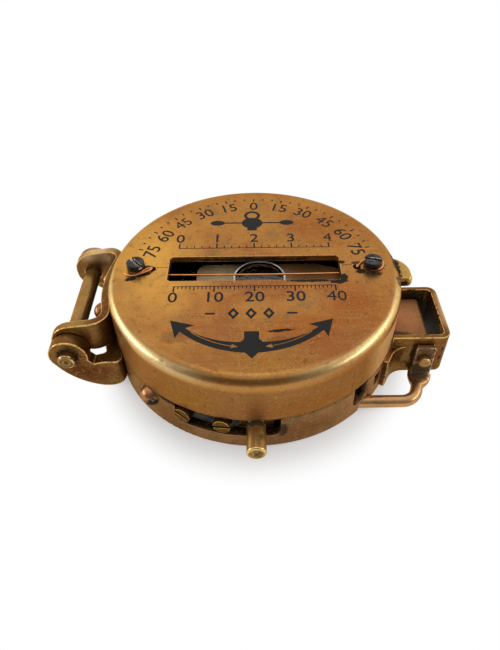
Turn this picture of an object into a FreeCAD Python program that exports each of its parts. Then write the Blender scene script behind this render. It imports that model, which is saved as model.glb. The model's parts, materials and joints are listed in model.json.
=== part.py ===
import FreeCAD, Part
import math
import os
from FreeCAD import Vector

# Pocket compass in aged brass: a round case, a hinged lid with a sighting window and wire,
# a lens arm folded under the lid, a wire thumb bail and a push rod that brakes the card.
# All sizes are millimetres. The origin is the middle of the case's underside, +Z is up,
# +X runs from the lid hinge to the bail, and -Y is the side of the push rod.

# Case and lid
BODY_R = 37.5
CASE_WALL = 1.6
JOINT_Z = 10.6
JOINT_GAP = 0.1
CASE_EDGE = 0.8
FOOT_RING_WIDTH = 3.2
RECESS_DEPTH = 3.5
FLOOR_THICK = 1.1
BASE_BOSS_R = 4.5
LID_TOP_Z = 24.3
LID_WALL = 1.9
LID_TOP_THICK = 1.8
LID_SHOULDER = 3.0
LID_INNER_SHOULDER = 1.2

# Sighting window, wire and the two wire screws
WINDOW_END_GAP = 4.3
WINDOW_WIDTH = 9.5
WINDOW_CORNER = 0.9
WIRE_R = 0.27
WIRE_SET_BACK = 0.13
WIRE_HOLE_STEP = 4.0
WIRE_HOLE_R = 1.0
WIRE_SCREW_INSET = 7.2
WIRE_SCREW_R = 1.0
WIRE_SCREW_HEAD_R = 2.3
WIRE_SCREW_HEAD_H = 1.9
LEFT_SLOT_TURN = -48.0
RIGHT_SLOT_TURN = -14.0
SLOT_WIDTH = 0.7
SLOT_DEPTH = 0.9
WIRE_LOOP_R = 1.95
WIRE_TAIL_BACK = 2.4
WIRE_TAIL_ASIDE = 0.5
WIRE_SCREW_EDGE = 0.3

# Thumb tab on the lid's rim
TAB_NEAR_Y = -2.9
TAB_FAR_Y = 6.5
TAB_REACH = 3.2
TAB_NEAR_CORNER = 1.5
TAB_FAR_CORNER = 6.0
TAB_TOP_Z = 22.4
TAB_THICK = 3.0
TAB_ROUND = 1.0

# Lid hinge: two bent strips and one pin. The lower ear's points are (out from the wall, height).
HINGE_OUT = 8.9
HINGE_Z = 12.1
HINGE_PIN_R = 2.2
HINGE_PIN_PROUD = 2.0
PIN_DIMPLE_R = 0.8
PIN_CHAMFER = 0.3
RUN_CLEAR = 0.05
SIDE_CLEAR = 0.3
UPPER_INNER_Y = 13.2
UPPER_STRIP = 2.2
UPPER_BEND_IN = 2.6
UPPER_BEND_OUT = 4.8
UPPER_WEB_LOW = 10.9
UPPER_WEB_HIGH = 19.7
UPPER_EAR_R = 4.6
UPPER_EAR_TOP = 6.8
UPPER_EAR_HEEL = 0.4
UPPER_EAR_CHEEK_X = 3.3
UPPER_EAR_CHEEK_Z = 4.7
UPPER_EAR_CREST = 0.9
UPPER_EAR_SLOPE = 6.5
UPPER_RIVET_Z = 15.3
LOWER_STRIP = 3.3
LOWER_BEND_IN = 0.8
LOWER_BEND_OUT = 1.8
LOWER_WEB_LOW = 0.9
LOWER_WEB_HIGH = 10.0
LOWER_BOSS_R = 4.9
LOWER_HEEL = (-5.1, 4.2)
LOWER_HEEL_BEND = (-3.1, 2.0)
LOWER_SOLE_OUT = 0.1
LOWER_TOE_OUT = 1.9
LOWER_TOE_BEND = (8.4, 3.9)
LOWER_NOSE = (12.7, 9.0)
LOWER_NOTCH_TOP = (4.4, 11.0)
LOWER_NOTCH_LOW = (3.1, 9.4)
LOWER_NOTCH_END_OUT = 0.9
LOWER_RIVET_Z = 6.4
RIVET_SPREAD = 5.7
RIVET_R = 1.1
RIVET_HEAD_R = 2.3
RIVET_HEAD_H = 2.5
RIVET_TAIL_R = 1.7
RIVET_TAIL_H = 0.6
HEAD_BED = 0.15

# Box bracket, its pin and the bail
BOX_NEAR_Y = -15.3
BOX_FAR_Y = 4.0
BOX_STRIP = 1.3
BOX_END_STRIP = 1.6
BOX_REACH = 11.9
BOX_LOW = 1.0
BOX_HIGH = 13.5
BOX_CORNER = 2.5
BOX_NEAR_FLARE = 5.0
BOX_FAR_FLARE = 0.4
FOOT_SPREAD = 5.2
BOX_PIN_OUT = 5.4
BOX_PIN_Z = 7.6
BOX_PIN_R = 1.5
BOX_PIN_PROUD = 1.8
BAIL_WIRE_R = 1.55
BAIL_FLOOR_GAP = 0.05
BAIL_NEAR_Y = -25.7
BAIL_END_X = 8.0
BAIL_END_BEND = 12.0
BAIL_SIDE_BEND = 4.5
BAIL_LEAVE_OUT = 2.3
BAIL_NOTCH_CLEAR = 0.3
TAG_THICK = 1.4
TAG_WIDTH = 5.0
TAG_TOP = 3.7
TAG_SHIFT = 0.2
TAG_CORNER = 0.6
NECK_HALF_WIDTH = 2.9
NECK_HALF_THICK = 0.95
NECK_LENGTH = 5.0
NECK_FLAT = 2.0

# Lens arm: a cranked strip that hinges on the box pin
ARM_THICK = 1.2
ARM_TOP_Z = 19.9
ARM_LOW_TOP_Z = 11.0
ARM_TIP_X = -15.3
ARM_TIP_CORNER = 3.2
ARM_HALF_WIDTH = 6.5
ARM_CENTRE_Y = 0.3
ARM_TAPER_X = 16.0
ARM_LEG_GAP = 0.7
ARM_PIN_COVER = 2.0
ARM_ROUND = 1.3
ARM_EDGE_ROUND = 1.1
KNUCKLE_R = 2.7
LENS_X = 1.3
LENS_R = 6.8
LENS_EDGE = 0.9
LENS_CROWN = 0.7
LENS_SEAT_R = 5.6

# Compass bowl, glass and chapter ring
BOWL_WALL_GAP = 6.3
BOWL_WALL = 1.8
BOWL_FLOOR = 1.0
GLASS_LEDGE = 1.0
GLASS_THICK = 1.4
GLASS_SEAT_Z = 13.6
GLASS_BEVEL = 0.3
BEZEL_THICK = 1.2
BEZEL_LIP = 2.0
BEZEL_BEVEL = 0.6
CHAPTER_LOW = 10.3
CHAPTER_THICK = 0.9
CHAPTER_LID_CLEAR = 0.4
CHAPTER_POST_R = 1.2
CHAPTER_POST_AZ = (-120.0, -60.0, 45.0, 135.0)

# Card on its pivot
CARD_BOWL_GAP = 3.2
CARD_LOW = 9.0
CARD_THICK = 0.7
CARD_BORE_R = 2.1
MAGNET_LENGTH = 40.0
MAGNET_WIDTH = 7.0
MAGNET_THICK = 1.1
MAGNET_BORE_R = 2.5
MAGNET_EYE_R = 3.7
HUB_FLANGE_R = 3.4
HUB_FLANGE_H = 0.5
HUB_TOP = 12.5
HUB_ROUND = 1.0
JEWEL_R = 1.0
JEWEL_LOW = 10.7
JEWEL_HIGH = 11.8
JEWEL_PIT_R = 0.7
JEWEL_PIT_DEPTH = 0.5
PIVOT_CLEAR = 0.1
POST_FOOT_R = 5.0
POST_FOOT_H = 0.8
POST_R = 1.6
POST_TOP = 8.6
POINT_R = 0.6

# Push rod, brake and the window in the case wall
ROD_Z = 7.8
ROD_R = 2.25
ROD_REACH = 6.8
ROD_SHOULDER_SET = 0.6
ROD_TRAVEL = 1.0
ROD_CHAMFER = 0.25
ROD_MARK_R = 0.8
STEM_R = 1.2
STEM_BALL_GAP = 0.1
STEM_HOLE_CLEAR = 0.1
SPRING_WIRE_R = 0.2
SPRING_COIL_R = 1.65
SPRING_TURNS = 3
CLIP_R = 2.0
CLIP_THICK = 0.5
CLIP_MOUTH_HALF = 0.85
GUIDE_THICK = 2.8
GUIDE_TOP = 10.1
GUIDE_LEFT_AZ = -32.5
GUIDE_RIGHT_AZ = 7.0
BRAKE_BOWL_GAP = 0.8
BRAKE_THICK = 1.0
BRAKE_LOW = 6.5
BRAKE_HIGH = 10.0
BRAKE_PIVOT_AZ = -34.0
BRAKE_PIVOT_SET = 0.6
BRAKE_PIN_R = 0.6
BRAKE_KNUCKLE_R = 1.15
BRAKE_END_AZ = 5.0
BRAKE_CARD_GAP = 0.15
PAD_HALF_AZ = 4.0
PAD_DROP = 0.5
SLOT_WINDOW_LEFT_AZ = -30.6
SLOT_WINDOW_RIGHT_AZ = 8.7
SLOT_WINDOW_LOW = 4.5
SLOT_WINDOW_CORNER = 1.8
PLATE_THICK = 0.9
PLATE_WALL_GAP = 0.5
PLATE_LEFT_AZ = -32.0
PLATE_RIGHT_AZ = -5.7
PLATE_LOW = 4.8
PLATE_HIGH = 10.1
PLATE_END_ROUND = 2.55
PLATE_SCREW_AZ = (-27.0, -12.1)
PLATE_SCREW_Z = 8.2
PLATE_SCREW_R = 0.9
PLATE_SCREW_HEAD_R = 2.1
PLATE_SCREW_HEAD_PROUD = 0.8
PLATE_SCREW_SLOT_TURN = (-25.0, 10.0)
STUD_AZ = -42.9
STUD_Z = 7.7
STUD_HEAD_R = 2.75
STUD_HEAD_H = 2.3
STUD_R = 1.2
SLOT_ONE_AZ = 42.3
SLOT_ONE_WIDTH = 4.4
SLOT_ONE_LOW = 3.4
SLOT_TWO_LEFT_AZ = 51.5
SLOT_TWO_RIGHT_AZ = 56.8
SLOT_TWO_LOW = 4.2
SLOT_TWO_HIGH = 8.6

# Sizes that follow from the ones above
CASE_TOP = JOINT_Z - JOINT_GAP / 2.0
LID_LOW = JOINT_Z + JOINT_GAP / 2.0
CASE_BORE = BODY_R - CASE_WALL
LID_BORE = BODY_R - LID_WALL
LID_UNDER = LID_TOP_Z - LID_TOP_THICK
FLOOR_TOP = RECESS_DEPTH + FLOOR_THICK
RECESS_R = BODY_R - FOOT_RING_WIDTH
WIRE_SCREW_X = BODY_R - WIRE_SCREW_INSET
WIRE_HOLE_X = WIRE_SCREW_X - WIRE_HOLE_STEP
WINDOW_LENGTH = 2.0 * (WIRE_HOLE_X - WINDOW_END_GAP)
WIRE_Z = LID_UNDER - WIRE_SET_BACK - WIRE_R
HINGE_X = -(BODY_R + HINGE_OUT)
UPPER_OUTER_Y = UPPER_INNER_Y + UPPER_STRIP
LOWER_INNER_Y = UPPER_OUTER_Y + SIDE_CLEAR
LOWER_OUTER_Y = LOWER_INNER_Y + LOWER_STRIP
HINGE_PIN_Y = LOWER_OUTER_Y + HINGE_PIN_PROUD
BOX_END_X = BODY_R + BOX_REACH
BOX_PIN_X = BODY_R + BOX_PIN_OUT
BAIL_LEAVE_X = BODY_R + BAIL_LEAVE_OUT
BAIL_Z = BAIL_WIRE_R + BAIL_FLOOR_GAP
BOX_MID_Y = (BOX_NEAR_Y + BOX_FAR_Y) / 2.0
TAG_IN = (BOX_FAR_Y - BOX_NEAR_Y) / 2.0 + SIDE_CLEAR
TAG_OUT = TAG_IN + TAG_THICK
TAG_X = BOX_PIN_X + TAG_SHIFT
BAIL_HALF = BOX_MID_Y - BAIL_NEAR_Y
BAIL_NOTCH_R = BAIL_WIRE_R + BAIL_NOTCH_CLEAR
KNUCKLE_NEAR_Y = BOX_NEAR_Y + BOX_STRIP + SIDE_CLEAR
KNUCKLE_FAR_Y = BOX_FAR_Y - BOX_STRIP - SIDE_CLEAR
BOWL_R = CASE_BORE - BOWL_WALL_GAP
ARM_LEG_X = BOWL_R + ARM_LEG_GAP + ARM_THICK
ARM_OUTER_X = BOX_PIN_X + ARM_PIN_COVER
ARM_LOW_Z = ARM_LOW_TOP_Z - ARM_THICK
ARM_UNDER_Z = ARM_TOP_Z - ARM_THICK
GLASS_R = BOWL_R - GLASS_LEDGE
BOWL_BORE = BOWL_R - BOWL_WALL
BOWL_FLOOR_TOP = FLOOR_TOP + BOWL_FLOOR
BOWL_TOP = GLASS_SEAT_Z + GLASS_THICK
CHAPTER_OUT_R = LID_BORE - CHAPTER_LID_CLEAR
CARD_R = BOWL_BORE - CARD_BOWL_GAP
BRAKE_OUT_R = BOWL_BORE - BRAKE_BOWL_GAP
BRAKE_PIVOT_R = BRAKE_OUT_R - BRAKE_PIVOT_SET
ROD_END_Y = -(BODY_R + ROD_REACH)
ROD_SHOULDER_Y = -(BODY_R - ROD_SHOULDER_SET)
STEM_END_Y = -(BRAKE_OUT_R + STEM_BALL_GAP)
PAD_R = CARD_R + BRAKE_CARD_GAP + ROD_TRAVEL
PLATE_OUT_R = CASE_BORE - PLATE_WALL_GAP
PLATE_IN_R = PLATE_OUT_R - PLATE_THICK
GUIDE_OUT_R = PLATE_IN_R
GUIDE_IN_R = GUIDE_OUT_R - GUIDE_THICK
CUT_OVER = 5.0
CUT_STEP = 1.0
TOUCH = 0.01
UP = Vector(0, 0, 1)
ALONG_Y = Vector(0, 1, 0)
ALONG_X = Vector(1, 0, 0)


def save(node, shape):
    """Write one named piece as a STEP file."""
    shape = shape.removeSplitter()
    shape.exportStep(os.path.join("parts", node + ".step"))


def cylinder(radius, low, high, x=0.0, y=0.0):
    """Upright cylinder between two heights."""
    return Part.makeCylinder(radius, high - low, Vector(x, y, low), UP)


def cylinder_y(radius, y_from, y_to, x, z):
    """Cylinder along Y."""
    return Part.makeCylinder(radius, y_to - y_from, Vector(x, y_from, z), ALONG_Y)


def ring(outer, inner, low, high):
    """Upright tube."""
    return cylinder(outer, low, high).cut(cylinder(inner, low - CUT_OVER, high + CUT_OVER))


def block(x_low, x_high, y_low, y_high, z_low, z_high):
    """Box between two corners."""
    size = (x_high - x_low, y_high - y_low, z_high - z_low)
    return Part.makeBox(size[0], size[1], size[2], Vector(x_low, y_low, z_low))


def rim_point(azimuth, radius, z):
    """Point at an azimuth measured from -Y towards +X."""
    angle = math.radians(azimuth)
    return Vector(radius * math.sin(angle), -radius * math.cos(angle), z)


def outward(azimuth):
    """Unit vector away from the case's axis at an azimuth."""
    return rim_point(azimuth, 1.0, 0.0)


def sector(outer, inner, low, high, az_low, az_high):
    """Part of an upright tube between two azimuths."""
    corners = [Vector(inner, 0, low), Vector(outer, 0, low), Vector(outer, 0, high), Vector(inner, 0, high)]
    face = Part.Face(Part.makePolygon(corners + corners[:1]))
    solid = face.revolve(Vector(0, 0, 0), UP, az_high - az_low)
    solid.rotate(Vector(0, 0, 0), UP, az_low - 90.0)
    return solid


def radial_cylinder(azimuth, z, radius, r_from, r_to):
    """Cylinder that points away from the case's axis."""
    return Part.makeCylinder(radius, r_to - r_from, rim_point(azimuth, r_from, z), outward(azimuth))


def radial_dome(azimuth, z, radius, height, seat_r):
    """Spherical cap standing on the radius seat_r."""
    ball_r = (radius * radius + height * height) / (2.0 * height)
    ball = Part.makeSphere(ball_r, rim_point(azimuth, seat_r + height - ball_r, z))
    return ball.common(radial_cylinder(azimuth, z, radius + CUT_OVER, seat_r, seat_r + height))


def side_profile(edges, y_from, y_to):
    """Solid of a closed outline in the XZ plane, extruded along Y."""
    face = Part.Face(Part.Wire(edges))
    face.translate(Vector(0, y_from, 0))
    return face.extrude(Vector(0, y_to - y_from, 0))


def in_side_view(point):
    """Point of the XZ plane."""
    return Vector(point[0], 0, point[1])


def line(start, end):
    """Edge in the XZ plane."""
    return Part.makeLine(in_side_view(start), in_side_view(end))


def arc(start, middle, end):
    """Arc through three points of the XZ plane."""
    return Part.Arc(in_side_view(start), in_side_view(middle), in_side_view(end)).toShape()


def is_upright(edge):
    """Whether an edge is a straight vertical one of some length."""
    box = edge.BoundBox
    return box.ZLength > CUT_STEP and box.XLength < TOUCH and box.YLength < TOUCH


def top_edges(solid, height):
    """Edges that lie on the top face at a height."""
    return [e for e in solid.Edges if e.BoundBox.ZMin > height - TOUCH]


def fillet_uprights(solid, radius, x_limit, side):
    """Round the upright edges on one side of x_limit."""
    picked = [e for e in solid.Edges if is_upright(e) and (e.BoundBox.XMin - x_limit) * side > 0]
    return solid.makeFillet(radius, picked)


def by_wall(point):
    """Place in the XZ plane of a point given by its distance outside the left wall and its height."""
    return (-(BODY_R + point[0]), point[1])


def bent_strip(inner_y, strip, bends, low, high):
    """Strip bent to a U that opens towards -X and lies against the round wall."""
    far_x = HINGE_X - LOWER_BOSS_R - CUT_OVER
    bend_in, bend_out = bends
    solids = []
    for half, wall_r, radius in ((inner_y + strip, BODY_R, bend_out), (inner_y, BODY_R + strip, bend_in)):
        solid = block(far_x, 0.0, -half, half, low, high)
        solid = solid.cut(cylinder(wall_r, low - CUT_OVER, high + CUT_OVER))
        solid = max(solid.Solids, key=lambda s: s.Volume)
        solids.append(fillet_uprights(solid, radius, HINGE_X, 1))
    return solids[0].cut(solids[1])


def case_shell():
    """Lower half of the body: wall, floor, foot ring and all its openings."""
    shell = cylinder(BODY_R, 0.0, CASE_TOP)
    shell = shell.makeFillet(CASE_EDGE, [e for e in shell.Edges if e.BoundBox.ZMax < TOUCH])
    shell = shell.cut(cylinder(CASE_BORE, FLOOR_TOP, JOINT_Z + CUT_OVER))
    recess = cylinder(RECESS_R, -CUT_OVER, RECESS_DEPTH)
    shell = shell.cut(recess.cut(cylinder(BASE_BOSS_R, -CUT_OVER, RECESS_DEPTH)))
    shell = shell.cut(front_window())
    for far in (False, True):
        shell = shell.cut(bail_notch(far))
    shell = shell.cut(slot_one())
    shell = shell.cut(through_wall(SLOT_TWO_LOW, SLOT_TWO_HIGH, SLOT_TWO_LEFT_AZ, SLOT_TWO_RIGHT_AZ))
    shell = shell.cut(arm_passage(ARM_LOW_Z - SIDE_CLEAR, JOINT_Z))
    shell = shell.cut(radial_cylinder(STUD_AZ, STUD_Z, STUD_R, CASE_BORE - CUT_STEP, BODY_R + CUT_STEP))
    return rivet_holes(shell, LOWER_RIVET_Z)


def through_wall(low, high, az_low, az_high):
    """Tool that cuts an opening right through the case wall."""
    return sector(BODY_R + CUT_STEP, CASE_BORE - CUT_STEP, low, high, az_low, az_high)


def front_window():
    """Long window in the wall, open up to the joint, for the clamp plate and the rod."""
    window = through_wall(SLOT_WINDOW_LOW, JOINT_Z + CUT_STEP, SLOT_WINDOW_LEFT_AZ, SLOT_WINDOW_RIGHT_AZ)
    corners = []
    for edge in window.Edges:
        low_edge = edge.BoundBox.ZMax < SLOT_WINDOW_LOW + TOUCH
        if low_edge and edge.Length < CASE_WALL + 2.0 * CUT_STEP + TOUCH:
            corners.append(edge)
    return window.makeFillet(SLOT_WINDOW_CORNER, corners)


def bail_notch(far):
    """Inverted U through the foot ring, where the bail's wire passes under the case."""
    y = BOX_MID_Y + BAIL_HALF if far else BAIL_NEAR_Y
    tunnel = Part.makeCylinder(BAIL_NOTCH_R, BODY_R, Vector(BAIL_END_X, y, BAIL_Z), ALONG_X)
    slot = block(BAIL_END_X, BAIL_END_X + BODY_R, y - BAIL_NOTCH_R, y + BAIL_NOTCH_R, -CUT_OVER, BAIL_Z)
    return tunnel.fuse(slot)


def slot_one():
    """Upright slot with a round bottom, open at the joint."""
    half = SLOT_ONE_WIDTH / 2.0
    inner = CASE_BORE - CUT_STEP
    outer = BODY_R + CUT_STEP
    bottom = radial_cylinder(SLOT_ONE_AZ, SLOT_ONE_LOW + half, half, inner, outer)
    upper = block(inner, outer, -half, half, SLOT_ONE_LOW + half, JOINT_Z + CUT_STEP)
    upper.rotate(Vector(0, 0, 0), UP, SLOT_ONE_AZ - 90.0)
    return bottom.fuse(upper)


def arm_passage(low, high):
    """Gap in the wall where the lens arm leaves the body."""
    near = KNUCKLE_NEAR_Y - SIDE_CLEAR
    far = KNUCKLE_FAR_Y + SIDE_CLEAR
    return block(ARM_LEG_X - ARM_THICK, BODY_R + CUT_STEP, near, far, low, high)


def rivet_azimuth(side):
    """Azimuth of a hinge rivet on the body's left wall."""
    return -90.0 + side * math.degrees(math.asin(RIVET_SPREAD / BODY_R))


def compass_bowl():
    """Inner bowl that holds the card and the glass."""
    bowl = cylinder(BOWL_R, FLOOR_TOP, BOWL_TOP)
    bowl = bowl.cut(cylinder(BOWL_BORE, BOWL_FLOOR_TOP, BOWL_TOP + CUT_STEP))
    bowl = bowl.cut(cylinder(GLASS_R, GLASS_SEAT_Z, BOWL_TOP + CUT_STEP))
    stem_hole = cylinder_y(STEM_R + STEM_HOLE_CLEAR, -BOWL_R - CUT_STEP, -BOWL_BORE + CUT_STEP, 0.0, ROD_Z)
    return bowl.cut(stem_hole)


def dial_glass():
    """Flat glass with a small bevel."""
    glass = cylinder(GLASS_R, GLASS_SEAT_Z, BOWL_TOP)
    return glass.makeChamfer(GLASS_BEVEL, top_edges(glass, BOWL_TOP))


def glass_bezel():
    """Ring that keeps the glass in the bowl."""
    bezel = ring(BOWL_R, GLASS_R - BEZEL_LIP, BOWL_TOP, BOWL_TOP + BEZEL_THICK)
    return bezel.makeChamfer(BEZEL_BEVEL, top_edges(bezel, BOWL_TOP + BEZEL_THICK))


def chapter_ring():
    """Flat graduated ring round the bowl, open where the lens arm passes."""
    plate = ring(CHAPTER_OUT_R, BOWL_R, CHAPTER_LOW, CHAPTER_LOW + CHAPTER_THICK)
    near = KNUCKLE_NEAR_Y - SIDE_CLEAR
    far = KNUCKLE_FAR_Y + SIDE_CLEAR
    return plate.cut(block(0.0, BODY_R, near, far, 0.0, JOINT_Z + CUT_OVER))


def chapter_posts():
    """Four small posts that carry the chapter ring on the case floor."""
    radius = (BOWL_R + CHAPTER_OUT_R) / 2.0
    posts = []
    for azimuth in CHAPTER_POST_AZ:
        point = rim_point(azimuth, radius, FLOOR_TOP)
        posts.append(cylinder(CHAPTER_POST_R, FLOOR_TOP, CHAPTER_LOW, point.x, point.y))
    return Part.makeCompound(posts)


def pivot_post():
    """Brass foot and column of the pivot."""
    post = cylinder(POST_FOOT_R, BOWL_FLOOR_TOP, BOWL_FLOOR_TOP + POST_FOOT_H)
    post = post.fuse(cylinder(POST_R, BOWL_FLOOR_TOP, POST_TOP))
    return post.cut(cylinder(POINT_R, BOWL_FLOOR_TOP, POST_TOP + CUT_STEP))


def pivot_point():
    """Hardened point that carries the card."""
    apex = JEWEL_LOW + JEWEL_PIT_DEPTH - PIVOT_CLEAR
    cone_height = POINT_R * JEWEL_PIT_DEPTH / JEWEL_PIT_R * 2.0
    shank = cylinder(POINT_R, BOWL_FLOOR_TOP, apex - cone_height)
    cone = Part.makeCone(POINT_R, 0.0, cone_height, Vector(0, 0, apex - cone_height), UP)
    return shank.fuse(cone)


def compass_card():
    """Thin disc with the degree scale."""
    return ring(CARD_R, CARD_BORE_R, CARD_LOW, CARD_LOW + CARD_THICK)


def needle_magnet():
    """Bar magnet with pointed ends, fixed under the card."""
    half = MAGNET_LENGTH / 2.0
    side = MAGNET_WIDTH / 2.0
    low = CARD_LOW - MAGNET_THICK
    points = [Vector(0, half, low), Vector(side, 0, low), Vector(0, -half, low), Vector(-side, 0, low)]
    bar = Part.Face(Part.makePolygon(points + points[:1])).extrude(Vector(0, 0, MAGNET_THICK))
    bar = bar.fuse(cylinder(MAGNET_EYE_R, low, CARD_LOW))
    return bar.cut(cylinder(MAGNET_BORE_R, low - CUT_STEP, CARD_LOW + CUT_STEP))


def card_hub():
    """Cap in the middle of the card, with the jewel's seat below."""
    flange_low = CARD_LOW + CARD_THICK
    hub = cylinder(CARD_BORE_R, CARD_LOW, HUB_TOP)
    hub = hub.makeFillet(HUB_ROUND, top_edges(hub, HUB_TOP))
    hub = hub.fuse(cylinder(HUB_FLANGE_R, flange_low, flange_low + HUB_FLANGE_H))
    return hub.cut(cylinder(JEWEL_R, CARD_LOW - CUT_STEP, JEWEL_HIGH))


def jewel():
    """Jewel cup that turns on the point."""
    cup = cylinder(JEWEL_R, JEWEL_LOW, JEWEL_HIGH)
    pit = Part.makeCone(JEWEL_PIT_R, 0.0, JEWEL_PIT_DEPTH, Vector(0, 0, JEWEL_LOW), UP)
    return cup.cut(pit)


def push_rod():
    """Round push rod with a centre mark on its end and a thin stem inside."""
    rod = cylinder_y(ROD_R, ROD_END_Y, ROD_SHOULDER_Y, 0.0, ROD_Z)
    rod = rod.makeChamfer(ROD_CHAMFER, [e for e in rod.Edges if e.BoundBox.YMax < ROD_END_Y + TOUCH])
    rod = rod.cut(Part.makeCone(ROD_MARK_R, 0.0, ROD_MARK_R, Vector(0, ROD_END_Y, ROD_Z), ALONG_Y))
    stem = cylinder_y(STEM_R, ROD_SHOULDER_Y, STEM_END_Y - STEM_R, 0.0, ROD_Z)
    stem = stem.fuse(Part.makeSphere(STEM_R, Vector(0, STEM_END_Y - STEM_R, ROD_Z)))
    return rod.fuse(stem)


def rod_clip():
    """Open clip on the stem that stops the rod from leaving the case."""
    low_y = RUN_CLEAR - math.sqrt(GUIDE_IN_R**2 - CLIP_R**2)
    clip = cylinder_y(CLIP_R, low_y, low_y + CLIP_THICK, 0.0, ROD_Z)
    before = low_y - CUT_STEP
    after = low_y + CLIP_THICK + CUT_STEP
    clip = clip.cut(cylinder_y(STEM_R, before, after, 0.0, ROD_Z))
    mouth = block(-CLIP_MOUTH_HALF, CLIP_MOUTH_HALF, before, after, ROD_Z, ROD_Z + CLIP_R + CUT_STEP)
    return clip.cut(mouth)


def rod_spring():
    """Return spring between the rod's shoulder and the guide block."""
    first = ROD_SHOULDER_Y + SPRING_WIRE_R
    last = -GUIDE_OUT_R - SPRING_WIRE_R
    pitch = (last - first) / SPRING_TURNS
    path = Part.makeHelix(pitch, last - first, SPRING_COIL_R)
    circle = Part.makeCircle(SPRING_WIRE_R, Vector(SPRING_COIL_R, 0, 0), ALONG_Y)
    coil = Part.Wire(path.Edges).makePipeShell([Part.Wire([circle])], True, True)
    coil.rotate(Vector(0, 0, 0), ALONG_X, -90.0)
    coil.translate(Vector(0, first, ROD_Z))
    return coil


def guide_block():
    """Curved block on the case floor: guides the stem and holds the clamp plate's screws."""
    body = sector(GUIDE_OUT_R, GUIDE_IN_R, FLOOR_TOP, GUIDE_TOP, GUIDE_LEFT_AZ, GUIDE_RIGHT_AZ)
    body = body.cut(cylinder_y(STEM_R + RUN_CLEAR, -BODY_R, -BOWL_R, 0.0, ROD_Z))
    for azimuth in PLATE_SCREW_AZ:
        hole = radial_cylinder(azimuth, PLATE_SCREW_Z, PLATE_SCREW_R, GUIDE_IN_R - CUT_STEP, BODY_R)
        body = body.cut(hole)
    return body


def clamp_plate():
    """Dark curved plate behind the window, with a round right end."""
    plate = sector(PLATE_OUT_R, PLATE_IN_R, PLATE_LOW, PLATE_HIGH, PLATE_LEFT_AZ, PLATE_RIGHT_AZ)
    corners = []
    for edge in plate.Edges:
        across = edge.BoundBox.ZLength < TOUCH and edge.Length < PLATE_THICK + TOUCH
        if across and edge.BoundBox.XMin > rim_point(PLATE_SCREW_AZ[1], PLATE_IN_R, 0.0).x:
            corners.append(edge)
    plate = plate.makeFillet(PLATE_END_ROUND, corners)
    for azimuth in PLATE_SCREW_AZ:
        hole = radial_cylinder(azimuth, PLATE_SCREW_Z, PLATE_SCREW_R, PLATE_IN_R - CUT_STEP, BODY_R)
        plate = plate.cut(hole)
    return plate


def slotted_screw(azimuth, z, shank_r, shank_in, head_r, head_in, head_out, turn):
    """Cheese-head screw that points away from the case's axis, with a turned slot."""
    screw = radial_cylinder(azimuth, z, shank_r, shank_in, head_in)
    head = radial_cylinder(azimuth, z, head_r, head_in, head_out)
    half = SLOT_WIDTH / 2.0
    slot = block(head_out - SLOT_DEPTH, head_out + CUT_STEP, -CUT_OVER, CUT_OVER, -half, half)
    slot.rotate(Vector(0, 0, 0), ALONG_X, turn)
    slot.translate(Vector(0, 0, z))
    slot.rotate(Vector(0, 0, 0), UP, azimuth - 90.0)
    return screw.fuse(head.cut(slot))


def clamp_screws():
    """Two brass screws that hold the clamp plate to the guide block."""
    screws = []
    for azimuth, turn in zip(PLATE_SCREW_AZ, PLATE_SCREW_SLOT_TURN):
        screws.append(
            slotted_screw(
                azimuth, PLATE_SCREW_Z, PLATE_SCREW_R, GUIDE_IN_R, PLATE_SCREW_HEAD_R,
                PLATE_OUT_R, BODY_R + PLATE_SCREW_HEAD_PROUD, turn,
            )
        )
    return Part.makeCompound(screws)


def brake_lever():
    """Curved lever between the bowl and the card, with a pad for the card's edge."""
    inner = BRAKE_OUT_R - BRAKE_THICK
    lever = sector(BRAKE_OUT_R, inner, BRAKE_LOW, BRAKE_HIGH, BRAKE_PIVOT_AZ, BRAKE_END_AZ)
    pivot = rim_point(BRAKE_PIVOT_AZ, BRAKE_PIVOT_R, 0.0)
    lever = lever.fuse(cylinder(BRAKE_KNUCKLE_R, BRAKE_LOW, BRAKE_HIGH, pivot.x, pivot.y))
    pad_outer = BRAKE_OUT_R - BRAKE_THICK / 2.0
    pad = sector(pad_outer, PAD_R, CARD_LOW - PAD_DROP, BRAKE_HIGH, -PAD_HALF_AZ, PAD_HALF_AZ)
    bore = cylinder(BRAKE_PIN_R + RUN_CLEAR, 0.0, BRAKE_HIGH + CUT_STEP, pivot.x, pivot.y)
    return lever.fuse(pad).cut(bore)


def brake_pin():
    """Upright pin of the brake lever, standing in the bowl's floor."""
    pivot = rim_point(BRAKE_PIVOT_AZ, BRAKE_PIVOT_R, 0.0)
    pin = cylinder(BRAKE_PIN_R, BOWL_FLOOR_TOP, BRAKE_HIGH + RUN_CLEAR, pivot.x, pivot.y)
    collar = cylinder(BRAKE_KNUCKLE_R, BOWL_FLOOR_TOP, BRAKE_LOW - RUN_CLEAR, pivot.x, pivot.y)
    return pin.fuse(collar)


def bedded_rivet(azimuth, z, shank_r, head, face_r, wall_bore):
    """Rivet with a domed head outside and a flat clench inside, both bedded on round faces."""
    head_r, head_h = head
    low = z - head_r - CUT_STEP
    high = z + head_r + CUT_STEP
    dome = radial_dome(0.0, z, head_r, head_h + HEAD_BED, face_r - HEAD_BED)
    dome = dome.cut(cylinder(face_r, low, high))
    tail = radial_cylinder(0.0, z, RIVET_TAIL_R, wall_bore - RIVET_TAIL_H, wall_bore + HEAD_BED)
    tail = tail.common(cylinder(wall_bore, low, high))
    shank = radial_cylinder(0.0, z, shank_r, wall_bore - RIVET_TAIL_H / 2.0, face_r + HEAD_BED)
    rivet = shank.fuse(dome).fuse(tail)
    rivet.rotate(Vector(0, 0, 0), UP, azimuth)
    return rivet


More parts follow.
